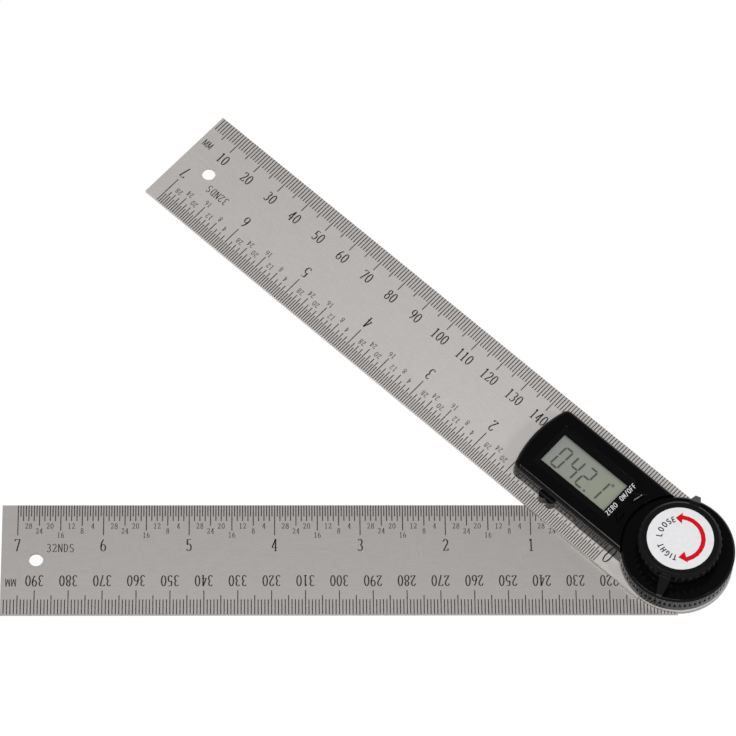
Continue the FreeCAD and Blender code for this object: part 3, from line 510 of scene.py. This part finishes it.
class AngleRuleScaleSettings(PropertyGroup):
    tick_width: length_of("Tick width", "Width of an engraved line", 0.29 * MM)
    numeral_height: length_of("Millimetre numerals", "Height of the tens", 3.6 * MM)
    numeral_row: length_of("Millimetre numeral row", "Their distance from the edge", 10.65 * MM)
    inch_height: length_of("Inch numerals", "Height of the inch numerals", 4.0 * MM)
    inch_row: length_of("Inch numeral row", "Their distance from the edge", 12.85 * MM)
    part_height: length_of("Part numerals", "Height of the thirty-seconds", 1.8 * MM)
    inch_start: length_of("Inch zero", "Distance of inch 0 from the pivot", 17.5 * MM)
    ink_colour: colour_of("Etched fill", "Colour of ticks and numerals", (0.035, 0.03, 0.025))


class AngleRuleFinishSettings(PropertyGroup):
    upper_steel: colour_of("Upper rule", "Steel of the upper rule", (0.7, 0.672, 0.65))
    lower_steel: colour_of("Lower rule", "Steel of the lower rule", (0.465, 0.442, 0.425))
    housing_black: colour_of("Housing", "Gloss black of the housing", (0.0025, 0.0025, 0.003))
    knob_black: colour_of("Knob", "Satin black of the lock knob", (0.005, 0.005, 0.0055))
    panel_green: colour_of("Display", "Back of the liquid crystal panel", (0.39, 0.415, 0.325))
    segment_green: colour_of("Segments", "Dark segments of the digits", (0.11, 0.12, 0.105))
    label_white: colour_of("Label", "White of the knob's label", (0.86, 0.86, 0.875))
    arrow_red: colour_of("Arrows", "Red of the label's arrows", (0.66, 0.0, 0.008))


class AngleRuleTrimSettings(PropertyGroup):
    skin: length_of("Skin", "How far the end trim stands out of the housing's end", 0.85 * MM)
    lap: length_of("Lap", "Depth of the end trim, most of it inside the wall", 1.25 * MM)
    half_width: length_of("Half width", "Half the housing's width at its foot", 12.65 * MM)
    far_end: length_of("Far end", "Pivot to the middle of the housing's far end", 55.4 * MM)
    corner_middle: length_of("Corner middle", "Pivot to the corners' middles, along", 51.35 * MM)
    corner_radius: length_of("Corner radius", "Radius of the far corners", 2.5 * MM)
    bow_radius: length_of("Bow radius", "Radius of the bowed end", 35 * MM)
    join_angle: angle_of("Join", "Where corner and bow meet, round the corner's middle", 161.8)
    edge_round: length_of("Edge round", "Radius along the top edge", 1.3 * MM)
    draft: angle_of("Draft", "Lean of the walls", 2.4)


class AngleRuleDisplaySettings(PropertyGroup):
    reading: StringProperty(name="Reading", description="Digits shown by the display", default="042.1")
    digit_height: length_of("Digit height", "Height of a digit", 7.85 * MM)
    digit_width: length_of("Digit width", "Width of a digit", 3.25 * MM)
    segment: length_of("Segment", "Thickness of a segment", 0.62 * MM)
    # The ON/OFF rib's colour is a painted highlight, paler than the black of the key.
    rib_colour: colour_of("Key rib colour", "Colour of the polished ON/OFF rib", (0.05, 0.05, 0.052))
    rib_width: length_of("Key rib width", "Width of the sloping rib on each key", 0.34 * MM)
    lettering_height: length_of("Window lettering", "Height of its capitals", 1.6 * MM)


class AngleRuleKnobSettings(PropertyGroup):
    tooth_count: IntProperty(name="Teeth", description="Teeth round the knob", default=36)
    radius: length_of("Radius", "Radius of the knob's toothed rim", 12.15 * MM)
    wing_angle: angle_of("Wing angle", "Direction of the first wing", 67.6)
    shoulder: length_of("Shoulder", "Height of the teeth over the knob's underside", 3.2 * MM)
    tooth_height: length_of("Tooth height", "Length of a tooth, along the axis", 2.45 * MM)
    tooth_width: length_of("Tooth width", "Width of a tooth's rounded face", 1.15 * MM)
    tooth_bulge: length_of("Tooth bulge", "How far the face stands out", 0.32 * MM)


class AngleRuleLabelSettings(PropertyGroup):
    arrow_radius: length_of("Arrow radius", "Mean radius of the curved arrow", 6.8 * MM)
    arrow_width: length_of("Arrow width", "Width of the curved arrow", 1.35 * MM)
    word_radius: length_of("Word radius", "Radius of the words' middle line", 6.3 * MM)
    word_height: length_of("Word height", "Height of the words' capitals", 1.75 * MM)


class AngleRuleStageSettings(PropertyGroup):
    lens: FloatProperty(name="Lens", description="Focal length", default=204.97, unit="CAMERA")
    tilt: angle_of("Tilt", "Camera tilt from straight down", 25.6609)
    roll: angle_of("Roll", "Camera roll", -0.7026)
    lean: angle_of("Lean", "Sideways lean of the camera", -1.7077)
    offset: FloatVectorProperty(name="Offset", description="The pivot, on the lower rule's face, as the "
                                "camera sees it", default=(0.091398, -0.0567956, -1.2450784),
                                subtype="TRANSLATION")
    lamp_power: FloatProperty(name="Lamp power", description="Power of the overhead lamp", default=4.4,
                              unit="POWER")
    sky: FloatProperty(name="Sky", description="Strength of the light from all round", default=0.42)


# ---- scales

# Where the housing and the head cover the rules, and so where the scales leave a gap.
HOUSING_REACH = 55.6 * MM
HOUSING_HALF_WIDTH = 12.75 * MM
NUMERAL_REACH = {"upper": 57 * MM, "lower": 18 * MM}

# Lengths of the ticks in millimetres: the first step that divides a tick's number gives its length.
TICK_LENGTHS = {"millimetre": ((10, 7.6), (5, 6.05), (1, 4.7)),
                "inch": ((32, 9.7), (16, 8.2), (8, 6.6), (2, 5.1), (1, 3.6))}

# Marks that stand alone, in millimetres: how far back along the rule, how far down, and how high.
LONE_MARKS = {"MM": (3.0, 10.1, 2.5), "0": (2.5, 3.9, 4.5), "32NDS": (12.7, 13.8, 2.7)}

# How far down from the edge the small numerals stand, by their thirty-seconds.
PART_ROWS = {8: 8.3 * MM, 24: 8.3 * MM, 16: 9.6 * MM}
OTHER_PART_ROW = 6.7 * MM
INCHES, PARTS = 7, 32


def rule_placement(rule, half_turn):
    """A flat frame on a rule's upper face. y = half width is the edge that the scale is read from."""
    turn = -OPENING_ANGLE if rule == "upper" else 0.0
    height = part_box(rule + "_blade")[1].z + MARK_LIFT
    return (Matrix.Translation((0, 0, height)) @ Matrix.Rotation(turn, 4, "Z")
            @ Matrix.Rotation(math.pi if half_turn else 0.0, 4, "Z"))


def tick_faces(sizes, rule, scale, number, along):
    """One tick in from the edge, shorter beside the housing, or none where the head covers it."""
    if math.hypot(along, RULE_HALF_WIDTH) <= HEAD_RADIUS:
        return []
    length = next(length * MM for step, length in TICK_LENGTHS[scale] if number % step == 0)
    if rule == "upper" and abs(along) < HOUSING_REACH:
        length = min(length, RULE_HALF_WIDTH - HOUSING_HALF_WIDTH)
    return [bar(along, RULE_HALF_WIDTH - length, sizes.tick_width, length)]


def lone_mark(mark, side, place):
    """MM, the 0 of the inches or 32NDS, a little nearer to the pivot than a place along the rule."""
    back, down, height = [length * MM for length in LONE_MARKS[mark]]
    return text_faces(mark, side * (place - back), RULE_HALF_WIDTH - down, height, mark)


def millimetre_faces(sizes, rule):
    """Ticks and numerals of a millimetre scale. The far end is 0 or 400, and the pivot 200."""
    first = 1 if rule == "upper" else 201
    ticks, numerals = [], []
    for number in range(first, first + 199):
        along = (number - 200) * MM
        ticks += tick_faces(sizes, rule, "millimetre", number, along)
        if number % 10 == 0 and abs(along) > NUMERAL_REACH[rule]:
            numerals += text_faces(str(number), along, RULE_HALF_WIDTH - sizes.numeral_row,
                                   sizes.numeral_height, "millimetre")
    numerals += lone_mark("MM", -1 if rule == "upper" else 1, RULE_LENGTH)
    return ticks, numerals


def inch_faces(sizes, rule, side):
    """Ticks, inch numerals and the small numerals of the thirty-seconds, out from the pivot."""
    ticks, numerals, small = [], [], []
    for number in range(INCHES * PARTS + 1):
        along = side * (sizes.inch_start + number / PARTS * INCH)
        ticks += tick_faces(sizes, rule, "inch", number, along)
        inches, part = divmod(number, PARTS)
        if number == 0 or rule == "upper" and abs(along) < NUMERAL_REACH[rule]:
            continue
        if part == 0:
            numerals += text_faces(str(inches), along, RULE_HALF_WIDTH - sizes.inch_row,
                                   sizes.inch_height, "inch")
        elif part % 4 == 0:
            row = RULE_HALF_WIDTH - PART_ROWS.get(part, OTHER_PART_ROW)
            small += text_faces(str(part), along, row, sizes.part_height, "part")
    numerals += lone_mark("0", side, sizes.inch_start)
    numerals += lone_mark("32NDS", side, sizes.inch_start + INCHES * INCH)
    return ticks, numerals, small


def add_scale(rule, scale, faces_by_part, half_turn, ink):
    """One scale on a rule: its ticks, its numerals and, for inches, its small numerals."""
    placement = rule_placement(rule, half_turn)
    for part, faces in zip(("ticks", "numerals", "small_numerals"), faces_by_part):
        flat_piece(f"{rule}_{scale}_{part}", faces, placement, rule + "_rule", ink)


class ANGLERULE_OT_rules(Operator):
    """Satin steel on both rules"""
    bl_idname = "anglerule.rules"
    bl_label = "Rules"

    def execute(self, context):
        finish = context.scene.angle_rule_finish
        dress("upper_blade", rule_steel("upper_rule_steel", finish.upper_steel, OPENING_ANGLE))
        dress("lower_blade", rule_steel("lower_rule_steel", finish.lower_steel, 0.0))
        return {"FINISHED"}


class ANGLERULE_OT_millimetres(Operator):
    """Millimetre scales on the outer edges"""
    bl_idname = "anglerule.millimetres"
    bl_label = "Millimetre scales"

    def execute(self, context):
        sizes = context.scene.angle_rule_scale
        ink = printed_ink("millimetre_etch", sizes.ink_colour)
        for rule in ("upper", "lower"):
            add_scale(rule, "millimetre", millimetre_faces(sizes, rule), rule == "lower", ink)
        return {"FINISHED"}


class ANGLERULE_OT_inches(Operator):
    """Inch scales on the inner edges"""
    bl_idname = "anglerule.inches"
    bl_label = "Inch scales"

    def execute(self, context):
        sizes = context.scene.angle_rule_scale
        ink = printed_ink("inch_etch", sizes.ink_colour)
        for rule, side in (("upper", 1), ("lower", -1)):
            add_scale(rule, "inch", inch_faces(sizes, rule, side), rule == "upper", ink)
        return {"FINISHED"}


# ---- housing, display and keys

class ANGLERULE_OT_housing(Operator):
    """Gloss black housing, keys and battery drawer"""
    bl_idname = "anglerule.housing"
    bl_label = "Housing"

    def execute(self, context):
        black = gloss_plastic("gloss_black_housing", context.scene.angle_rule_finish.housing_black)
        dress("housing battery_drawer", black)
        keys = gloss_plastic("gloss_black_keys", context.scene.angle_rule_finish.housing_black)
        dress("on_off_key zero_key", keys)
        return {"FINISHED"}


def upper_placement(height):
    """A flat frame at a height, turned with the upper rule."""
    return Matrix.Translation((0, 0, height)) @ Matrix.Rotation(-OPENING_ANGLE, 4, "Z")


def bowed_end(sizes, inward, shift):
    """The outline round the housing's far end, moved in by inward and out along the rule by shift."""
    corner, bow = sizes.corner_radius - inward, sizes.bow_radius - inward
    corner_x, bow_x = -sizes.corner_middle - shift, sizes.bow_radius - sizes.far_end - shift
    side, join = sizes.half_width - sizes.corner_radius, math.degrees(sizes.join_angle)
    return (arc(corner_x, side, corner, corner, 90, join) + arc(bow_x, 0, bow, bow, join, 180)[1:]
            + arc(bow_x, 0, bow, bow, 180, 360 - join)[1:]
            + arc(corner_x, -side, corner, corner, 360 - join, 270)[1:])


class ANGLERULE_OT_end_trim(Operator):
    """Bowed skin over the housing's far end, which brings it up to the numerals"""
    bl_idname = "anglerule.end_trim"
    bl_label = "End trim"

    def execute(self, context):
        sizes = context.scene.angle_rule_trim
        low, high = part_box("upper_blade")[1].z + MARK_LIFT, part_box("housing")[1].z - MARK_LIFT
        rise, lean = high - sizes.edge_round - low, 0.02 * MM
        inset = lean + rise * math.tan(sizes.draft)
        levels = [(low, lean)]
        for turn in [step * math.pi / 8 for step in range(5)]:
            levels.append((low + rise + sizes.edge_round * math.sin(turn),
                           inset + sizes.edge_round * (1 - math.cos(turn))))
        mesh = bmesh.new()
        rings = []
        for height, inward in levels:
            outer = bowed_end(sizes, inward, sizes.skin)
            inner = bowed_end(sizes, inward, sizes.skin - sizes.lap)
            rings.append([mesh.verts.new((x, y, height)) for x, y in outer + inner[::-1]])
        join_rings(mesh, rings, closed=True)
        for ring in (rings[0], rings[-1]):
            for side in range(len(ring) // 2 - 1):
                mesh.faces.new([ring[side], ring[side + 1], ring[-2 - side], ring[-1 - side]])
        bmesh.ops.recalc_face_normals(mesh, faces=mesh.faces)
        data = mesh_data("housing_end_trim", mesh)
        data.shade_smooth()
        data.set_sharp_from_angle(angle=math.radians(40))
        black = bpy.data.materials["gloss_black_housing"]
        add_piece(data, upper_placement(0), "upper_rule", black)
        return {"FINISHED"}


# Places on the display, in the upper rule's frame: x along the rule and y across it.
# CLEAR is the window's unprinted part. FRAME_EDGE is the frame's edge, along which a shadow is painted on
# the panel.
CLEAR_MIDDLE = Vector((-36.55 * MM, -0.15 * MM))
CLEAR_HALF_LENGTH = 12.4 * MM
CLEAR_HALF_WIDTH = 5.6 * MM
PANEL_ENDS = (-49 * MM, -27 * MM)
FRAME_EDGE = 5.45 * MM
DIGIT_LEFTS = [place * MM for place in (-46.55, -41.6, -36.95, -31.95)]
DIGIT_FOOT = -4.75 * MM
DIGIT_SLANT = 0.045
POINT = (-32.9 * MM, DIGIT_FOOT + 0.35 * MM, 0.36 * MM, 0.36 * MM)
DEGREE_MIDDLE = (-27.6 * MM, 2.65 * MM)
DEGREE_RADII = (0.5 * MM, 0.2 * MM)
WORDS_PLACE = -22.78 * MM
WORDS_SLANT = 0.12

# The lit segments of each digit, clockwise from the top, then the middle one.
LIT_SEGMENTS = {"0": "abcdef", "1": "bc", "2": "abged", "3": "abgcd", "4": "fgbc", "5": "afgcd",
                "6": "afgcde", "7": "abc", "8": "abcdefg", "9": "abcdfg"}


def segment_faces(sizes, digit):
    """A seven segment digit with its lower left corner at the origin, and a slight slant."""
    width, height, thick = sizes.digit_width, sizes.digit_height, sizes.segment
    half, gap = height / 2, 0.1 * MM
    low, high, side = thick / 2, height - thick / 2, width - thick / 2
    ends = {"a": ((low, high), (side, high)), "b": ((side, high), (side, half)),
            "c": ((side, half), (side, low)), "d": ((side, low), (low, low)),
            "e": ((low, low), (low, half)), "f": ((low, half), (low, high)),
            "g": ((low, half), (side, half))}
    faces = []
    for name in LIT_SEGMENTS[digit]:
        start, end = Vector(ends[name][0]), Vector(ends[name][1])
        step = (end - start).normalized()
        across = Vector((-step.y, step.x)) * thick / 2
        start, end = start + step * gap, end - step * gap
        point = step * thick / 2
        outline = [start, start + point - across, end - point - across, end, end - point + across,
                   start + point + across]
        faces.append([(x + DIGIT_SLANT * y, y) for x, y in outline])
    return faces


RIB_SLOPE = math.radians(30)


class ANGLERULE_OT_key_ribs(Operator):
    """Slim ribs along the keys' long sides, on the edge towards the knob"""
    bl_idname = "anglerule.key_ribs"
    bl_label = "Key ribs"

    def execute(self, context):
        sizes = context.scene.angle_rule_display
        # Painted highlight: the ON/OFF rib gets a paler black than its key, with a strong reflection, so
        # that it shows as a bright line along the key's edge.
        highlighted = gloss_plastic("highlighted_rib", sizes.rib_colour, 1.0)
        for node, body, material in (("on_off_key", "on_off_button", highlighted),
                                     ("zero_key", "zero_button", bpy.data.materials["gloss_black_keys"])):
            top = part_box(node)[1].z
            corners = {tuple(round(number, 7) for number in vertex.co)
                       for vertex in frame["nodes"][node].data.vertices if vertex.co.z > top - 1e-6}
            start, end, back = sorted((Vector(corner) for corner in corners), key=lambda c: c.xy.length)
            along = (end - start).normalized()
            inward = (back - start) - along * (back - start).dot(along)
            inward = inward.normalized() * sizes.rib_width
            crest = inward + Vector((0, 0, sizes.rib_width * math.tan(RIB_SLOPE)))
            points = [start, end, end + inward, start + inward, end + crest, start + crest]
            data = bpy.data.meshes.new(node + "_rib")
            data.from_pydata(points, [], [(0, 1, 4, 5), (3, 2, 4, 5), (0, 3, 5), (1, 2, 4), (0, 1, 2, 3)])
            add_piece(data, Matrix(), body, material)
        return {"FINISHED"}


class ANGLERULE_OT_display(Operator):
    """Liquid crystal panel with its reading, under the printed window"""
    bl_idname = "anglerule.display"
    bl_label = "Display"

    def execute(self, context):
        finish, sizes = context.scene.angle_rule_finish, context.scene.angle_rule_display
        dress("display_panel", display_glass("display_back", finish.panel_green, *PANEL_ENDS, FRAME_EDGE))
        dress("display_window",
              window_sheet("printed_window", CLEAR_MIDDLE, CLEAR_HALF_LENGTH, CLEAR_HALF_WIDTH))
        faces = []
        for digit, left in zip(sizes.reading.replace(".", ""), DIGIT_LEFTS):
            faces += shifted(segment_faces(sizes, digit), left, DIGIT_FOOT)
        faces.append(arc(*POINT, 0, 345))
        outer, inner = [arc(*DEGREE_MIDDLE, radius, radius, 0, 360) for radius in DEGREE_RADII]
        faces += [list(corner) for corner in zip(outer, outer[1:], inner[1:], inner)]
        ink = printed_ink("display_segments", finish.segment_green, 0.4, 0.1)
        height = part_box("display_panel")[1].z + MARK_LIFT / 2
        flat_piece("display_reading", faces, upper_placement(height), "upper_rule", ink)
        return {"FINISHED"}


class ANGLERULE_OT_lettering(Operator):
    """Words beside the keys, printed on the window"""
    bl_idname = "anglerule.lettering"
    bl_label = "Window lettering"

    def execute(self, context):
        height = context.scene.angle_rule_display.lettering_height
        ink = printed_ink("white_lettering", (0.8, 0.8, 0.8), 0.5, 0.1)
        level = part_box("display_window")[1].z + MARK_LIFT
        for name, word, middle in (("on_off_lettering", "ON/OFF", 3.6), ("zero_lettering", "ZERO", -3.85)):
            faces = text_faces(word, 0, 0, height, word, WORDS_SLANT)
            upright = shifted(faces, WORDS_PLACE, middle * MM, math.pi / 2)
            flat_piece(name, upright, upper_placement(level), "upper_rule", ink)
        return {"FINISHED"}


# ---- lock knob

def tooth_pad(mesh, sizes, middle, underside):
    """The rounded outer face of one tooth, running back into the rim at its top."""
    # Each ring of corners: its share of the tooth's height, of its bulge and of its width.
    rings = []
    foot = underside + sizes.shoulder
    for rise, bulge, spread in ((0, 1, 1), (0.8, 1, 1), (0.94, 0.6, 0.9), (1, -0.2, 0.8)):
        ring = []
        for side in (-1, -0.75, -0.3, 0.3, 0.75, 1):
            out = sizes.radius + sizes.tooth_bulge * bulge * math.sqrt(1 - side * side)
            angle = middle + side * spread * sizes.tooth_width / 2 / sizes.radius
            point = (out * math.cos(angle), out * math.sin(angle), foot + rise * sizes.tooth_height)
            ring.append(mesh.verts.new(point))
        rings.append(ring)
    join_rings(mesh, rings)
    mesh.faces.new(rings[0][::-1])


ARROW_START, ARROW_END = -33.5, 125

# The corners of the arrow's two heads: radius in millimetres, and angle in degrees.
ARROW_HEADS = (((6.7, 142.5), (8.35, ARROW_END), (4.75, ARROW_END)),
               ((6.1, -55.5), (4.3, ARROW_START), (7.95, ARROW_START)))


def arrow_faces(sizes):
    """A long curved arrow with a head at both ends, about the knob's axis, in the upper rule's frame."""
    inner = sizes.arrow_radius - sizes.arrow_width / 2
    outer = sizes.arrow_radius + sizes.arrow_width / 2
    inside = arc(0, 0, inner, inner, ARROW_START, ARROW_END)
    outside = arc(0, 0, outer, outer, ARROW_START, ARROW_END)
    faces = [list(corner) for corner in zip(inside, outside, outside[1:], inside[1:])]
    for corners in ARROW_HEADS:
        turned = [(radius * MM, math.radians(angle)) for radius, angle in corners]
        faces.append([(radius * math.cos(angle), radius * math.sin(angle)) for radius, angle in turned])
    return faces


# Where each letter stands on the label, in degrees.
LETTER_ANGLES = {"LOOSE": (212, 195, 178, 163, 149), "TIGHT": (-65, -76, -88, -103, -117)}


def ring_word(sizes, word):
    """Capitals on a circle, tops outward, read clockwise."""
    faces = []
    for letter, angle in zip(word, LETTER_ANGLES[word]):
        lifted = text_faces(letter, 0, sizes.word_radius, sizes.word_height, "label")
        faces += shifted(lifted, 0, 0, math.radians(angle - 90))
    return faces


class ANGLERULE_OT_knob(Operator):
    """Satin black knob and its brass insert"""
    bl_idname = "anglerule.knob"
    bl_label = "Lock knob"

    def execute(self, context):
        dress("lock_knob", satin_plastic("satin_black_knob", context.scene.angle_rule_finish.knob_black))
        dress("knob_insert", turned_metal("insert_brass", BRASS, 0.25))
        dress("thrust_washer", sheet_metal("washer_steel", (0.6, 0.6, 0.6), 0.3))
        return {"FINISHED"}


class ANGLERULE_OT_teeth(Operator):
    """Rounded faces on the knob's teeth, apart from those that the wings cover"""
    bl_idname = "anglerule.teeth"
    bl_label = "Knob teeth"

    def execute(self, context):
        sizes = context.scene.angle_rule_knob
        mesh = bmesh.new()
        half = sizes.tooth_count // 2
        for number in range(sizes.tooth_count):
            if number % half not in (0, half - 1):
                middle = sizes.wing_angle + (number + 0.5) * math.tau / sizes.tooth_count
                tooth_pad(mesh, sizes, middle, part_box("lock_knob")[0].z)
        data = mesh_data("knob_teeth", mesh)
        data.shade_smooth()
        add_piece(data, Matrix(), "knob", bpy.data.materials["satin_black_knob"])
        return {"FINISHED"}


class ANGLERULE_OT_label(Operator):
    """White label on the knob, with its arrow and words"""
    bl_idname = "anglerule.label"
    bl_label = "Knob label"

    def execute(self, context):
        finish, sizes = context.scene.angle_rule_finish, context.scene.angle_rule_label
        dress("knob_label", moulded_nylon("label_film", finish.label_white))
        placement = upper_placement(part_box("knob_label")[1].z + MARK_LIFT)
        red = printed_ink("arrow_red_ink", finish.arrow_red, 0.4, 0.06)
        flat_piece("label_arrow", arrow_faces(sizes), placement, "knob", red)
        black = printed_ink("label_black_ink", (0.02, 0.02, 0.02), 0.4, 0.1)
        for word in LETTER_ANGLES:
            flat_piece("label_" + word.lower(), ring_word(sizes, word), placement, "knob", black)
        return {"FINISHED"}


# ---- pivot and electronics

class ANGLERULE_OT_pivot(Operator):
    """Turned hub, bush and rotor parts of the pivot"""
    bl_idname = "anglerule.pivot"
    bl_label = "Pivot"

    def execute(self, context):
        dress("pivot_hub", turned_metal("hub_steel", (0.6, 0.59, 0.57), 0.22))
        dress("pivot_bush rotor_nut", turned_metal("pivot_brass", BRASS, 0.25))
        dress("friction_washer", moulded_nylon("washer_nylon", (0.75, 0.73, 0.66)))
        dress("housing_screws", sheet_metal("screw_zinc", (0.62, 0.62, 0.6), 0.25))
        return {"FINISHED"}


class ANGLERULE_OT_electronics(Operator):
    """Circuit board, sensor disc, switch domes, connector strips, contacts and cell"""
    bl_idname = "anglerule.electronics"
    bl_label = "Electronics"

    def execute(self, context):
        green, copper = (0.012, 0.09, 0.035), (0.5, 0.36, 0.12)
        dress("circuit_board rotor_disc", circuit_board("green_circuit_board", green, copper))
        dress("processor_chip", satin_plastic("chip_epoxy", (0.015, 0.015, 0.016)))
        dress("contact_strips", striped_rubber("connector_rubber", (0.12, 0.12, 0.13)))
        dress("on_off_dome zero_dome positive_contact negative_contact",
              sheet_metal("spring_steel_leaf", (0.65, 0.64, 0.6), 0.2))
        dress("coin_cell", sheet_metal("cell_nickel_plate", (0.7, 0.69, 0.67), 0.2))
        return {"FINISHED"}


# ---- stage

def area_lamp(name, place, target, size, power):
    """A square lamp that faces a target."""
    lamp = bpy.data.lights.new(name, "AREA")
    lamp.size = size
    lamp.energy = power
    holder = linked(name, lamp)
    holder.location = place
    holder.rotation_euler = (Vector(target) - Vector(place)).to_track_quat("-Z", "Y").to_euler()


# Brightness of the sky, by how far up it is looked at: 0 at the horizon and 1 overhead.
SKY_LEVELS = ((0.0, 1.0), (0.6, 1.0), (0.82, 0.2), (1.0, 0.2))


def sky(strength):
    """Light from all round: bright near the horizon and dim overhead. Plain white to the camera."""
    world = Shader("studio_sky", world=True)
    point = world.node("ShaderNodeTexCoord", output="Generated")
    upward = world.node("ShaderNodeSeparateXYZ", None, {0: point}, "Z")
    stops = [(place, rgb((level,) * 3)) for place, level in SKY_LEVELS]
    colour = world.node("ShaderNodeValToRGB", {"stops": stops}, {0: upward})
    light = world.node("ShaderNodeBackground", None, {"Color": colour, "Strength": strength})
    plain = world.node("ShaderNodeBackground", None, {"Color": rgb((1, 1, 1))})
    seen = world.node("ShaderNodeLightPath", output="Is Camera Ray")
    mix = world.node("ShaderNodeMixShader", None, {0: seen, 1: light, 2: plain})
    bpy.context.scene.world = world.finish(mix)


FLOOR_WIDTH = 6.0


def white_floor():
    """A wide white floor. It shows as white to the camera and keeps most of a soft shadow."""
    corners = [(x, y, 0) for x, y in bar(0, -FLOOR_WIDTH / 2, FLOOR_WIDTH, FLOOR_WIDTH)]
    mesh = bpy.data.meshes.new("studio_floor")
    mesh.from_pydata(corners, [], [(0, 1, 2, 3)])
    floor = linked("studio_floor", mesh)
    floor.location.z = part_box("pivot_hub")[0].z - 0.01 * MM
    shader = Shader("studio_floor_white")
    grain = shader.noise(9.0, 2.0)
    tint = shader.blend(grain, rgb((0.8, 0.8, 0.8)), rgb((0.82, 0.82, 0.82)))
    cloth = shader.node("ShaderNodeBsdfDiffuse", None, {"Color": tint})
    glow = shader.node("ShaderNodeEmission", None, {"Color": rgb((1, 1, 1)), "Strength": 1.05})
    seen = shader.node("ShaderNodeLightPath", output="Is Camera Ray")
    mirrored = shader.node("ShaderNodeLightPath", output="Is Glossy Ray")
    share = seen.math("MAXIMUM", mirrored * 0.5) * 0.9
    mix = shader.node("ShaderNodeMixShader", None, {0: share, 1: cloth, 2: glow})
    mesh.materials.append(shader.finish(mix))


class ANGLERULE_OT_stage(Operator):
    """White floor, soft lamps and the camera"""
    bl_idname = "anglerule.stage"
    bl_label = "Stage"

    def execute(self, context):
        scene, sizes = context.scene, context.scene.angle_rule_stage
        scene.view_settings.view_transform = "Standard"
        sky(sizes.sky)
        white_floor()
        area_lamp("overhead_softbox", (-0.16, -0.16, 0.8), (-0.1, 0.03, 0), 0.45, sizes.lamp_power)
        area_lamp("right_softbox", (0.48, -0.32, 0.69), (0, 0, 0), 0.15, sizes.lamp_power / 4)
        camera = bpy.data.cameras.new("camera")
        camera.lens = sizes.lens
        camera.sensor_width = 36
        camera.clip_start = 0.05
        holder = linked("camera", camera)
        turn = (Matrix.Rotation(sizes.lean, 4, "Y") @ Matrix.Rotation(sizes.tilt, 4, "X")
                @ Matrix.Rotation(sizes.roll, 4, "Z"))
        pivot = Matrix.Translation((0, 0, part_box("lower_blade")[1].z))
        holder.matrix_world = pivot @ turn @ Matrix.Translation(-Vector(sizes.offset))
        scene.camera = holder
        return {"FINISHED"}


# ---- panel and registration

OPERATORS = (ANGLERULE_OT_rules, ANGLERULE_OT_millimetres, ANGLERULE_OT_inches, ANGLERULE_OT_housing,
             ANGLERULE_OT_end_trim, ANGLERULE_OT_key_ribs, ANGLERULE_OT_display, ANGLERULE_OT_lettering,
             ANGLERULE_OT_knob, ANGLERULE_OT_teeth, ANGLERULE_OT_label, ANGLERULE_OT_pivot,
             ANGLERULE_OT_electronics, ANGLERULE_OT_stage)
SETTINGS = {"angle_rule_scale": AngleRuleScaleSettings, "angle_rule_finish": AngleRuleFinishSettings,
            "angle_rule_trim": AngleRuleTrimSettings, "angle_rule_display": AngleRuleDisplaySettings,
            "angle_rule_knob": AngleRuleKnobSettings, "angle_rule_label": AngleRuleLabelSettings,
            "angle_rule_stage": AngleRuleStageSettings}


class ANGLERULE_PT_panel(Panel):
    bl_idname = "ANGLERULE_PT_panel"
    bl_label = "Angle rule"
    bl_space_type = "VIEW_3D"
    bl_region_type = "UI"
    bl_category = "Angle rule"

    def draw(self, context):
        for operator in OPERATORS:
            self.layout.operator(operator.bl_idname)
        for group, kind in SETTINGS.items():
            box = self.layout.box()
            for name in kind.__annotations__:
                box.prop(getattr(context.scene, group), name)


def register():
    for kind in (*SETTINGS.values(), *OPERATORS, ANGLERULE_PT_panel):
        bpy.utils.register_class(kind)
    for name, kind in SETTINGS.items():
        setattr(bpy.types.Scene, name, PointerProperty(type=kind))


def unregister():
    for name in SETTINGS:
        delattr(bpy.types.Scene, name)
    for kind in reversed((*SETTINGS.values(), *OPERATORS, ANGLERULE_PT_panel)):
        bpy.utils.unregister_class(kind)


def main():
    register()
    for operator in OPERATORS:
        group, name = operator.bl_idname.split(".")
        getattr(getattr(bpy.ops, group), name)()


if __name__ == "__main__":
    main()
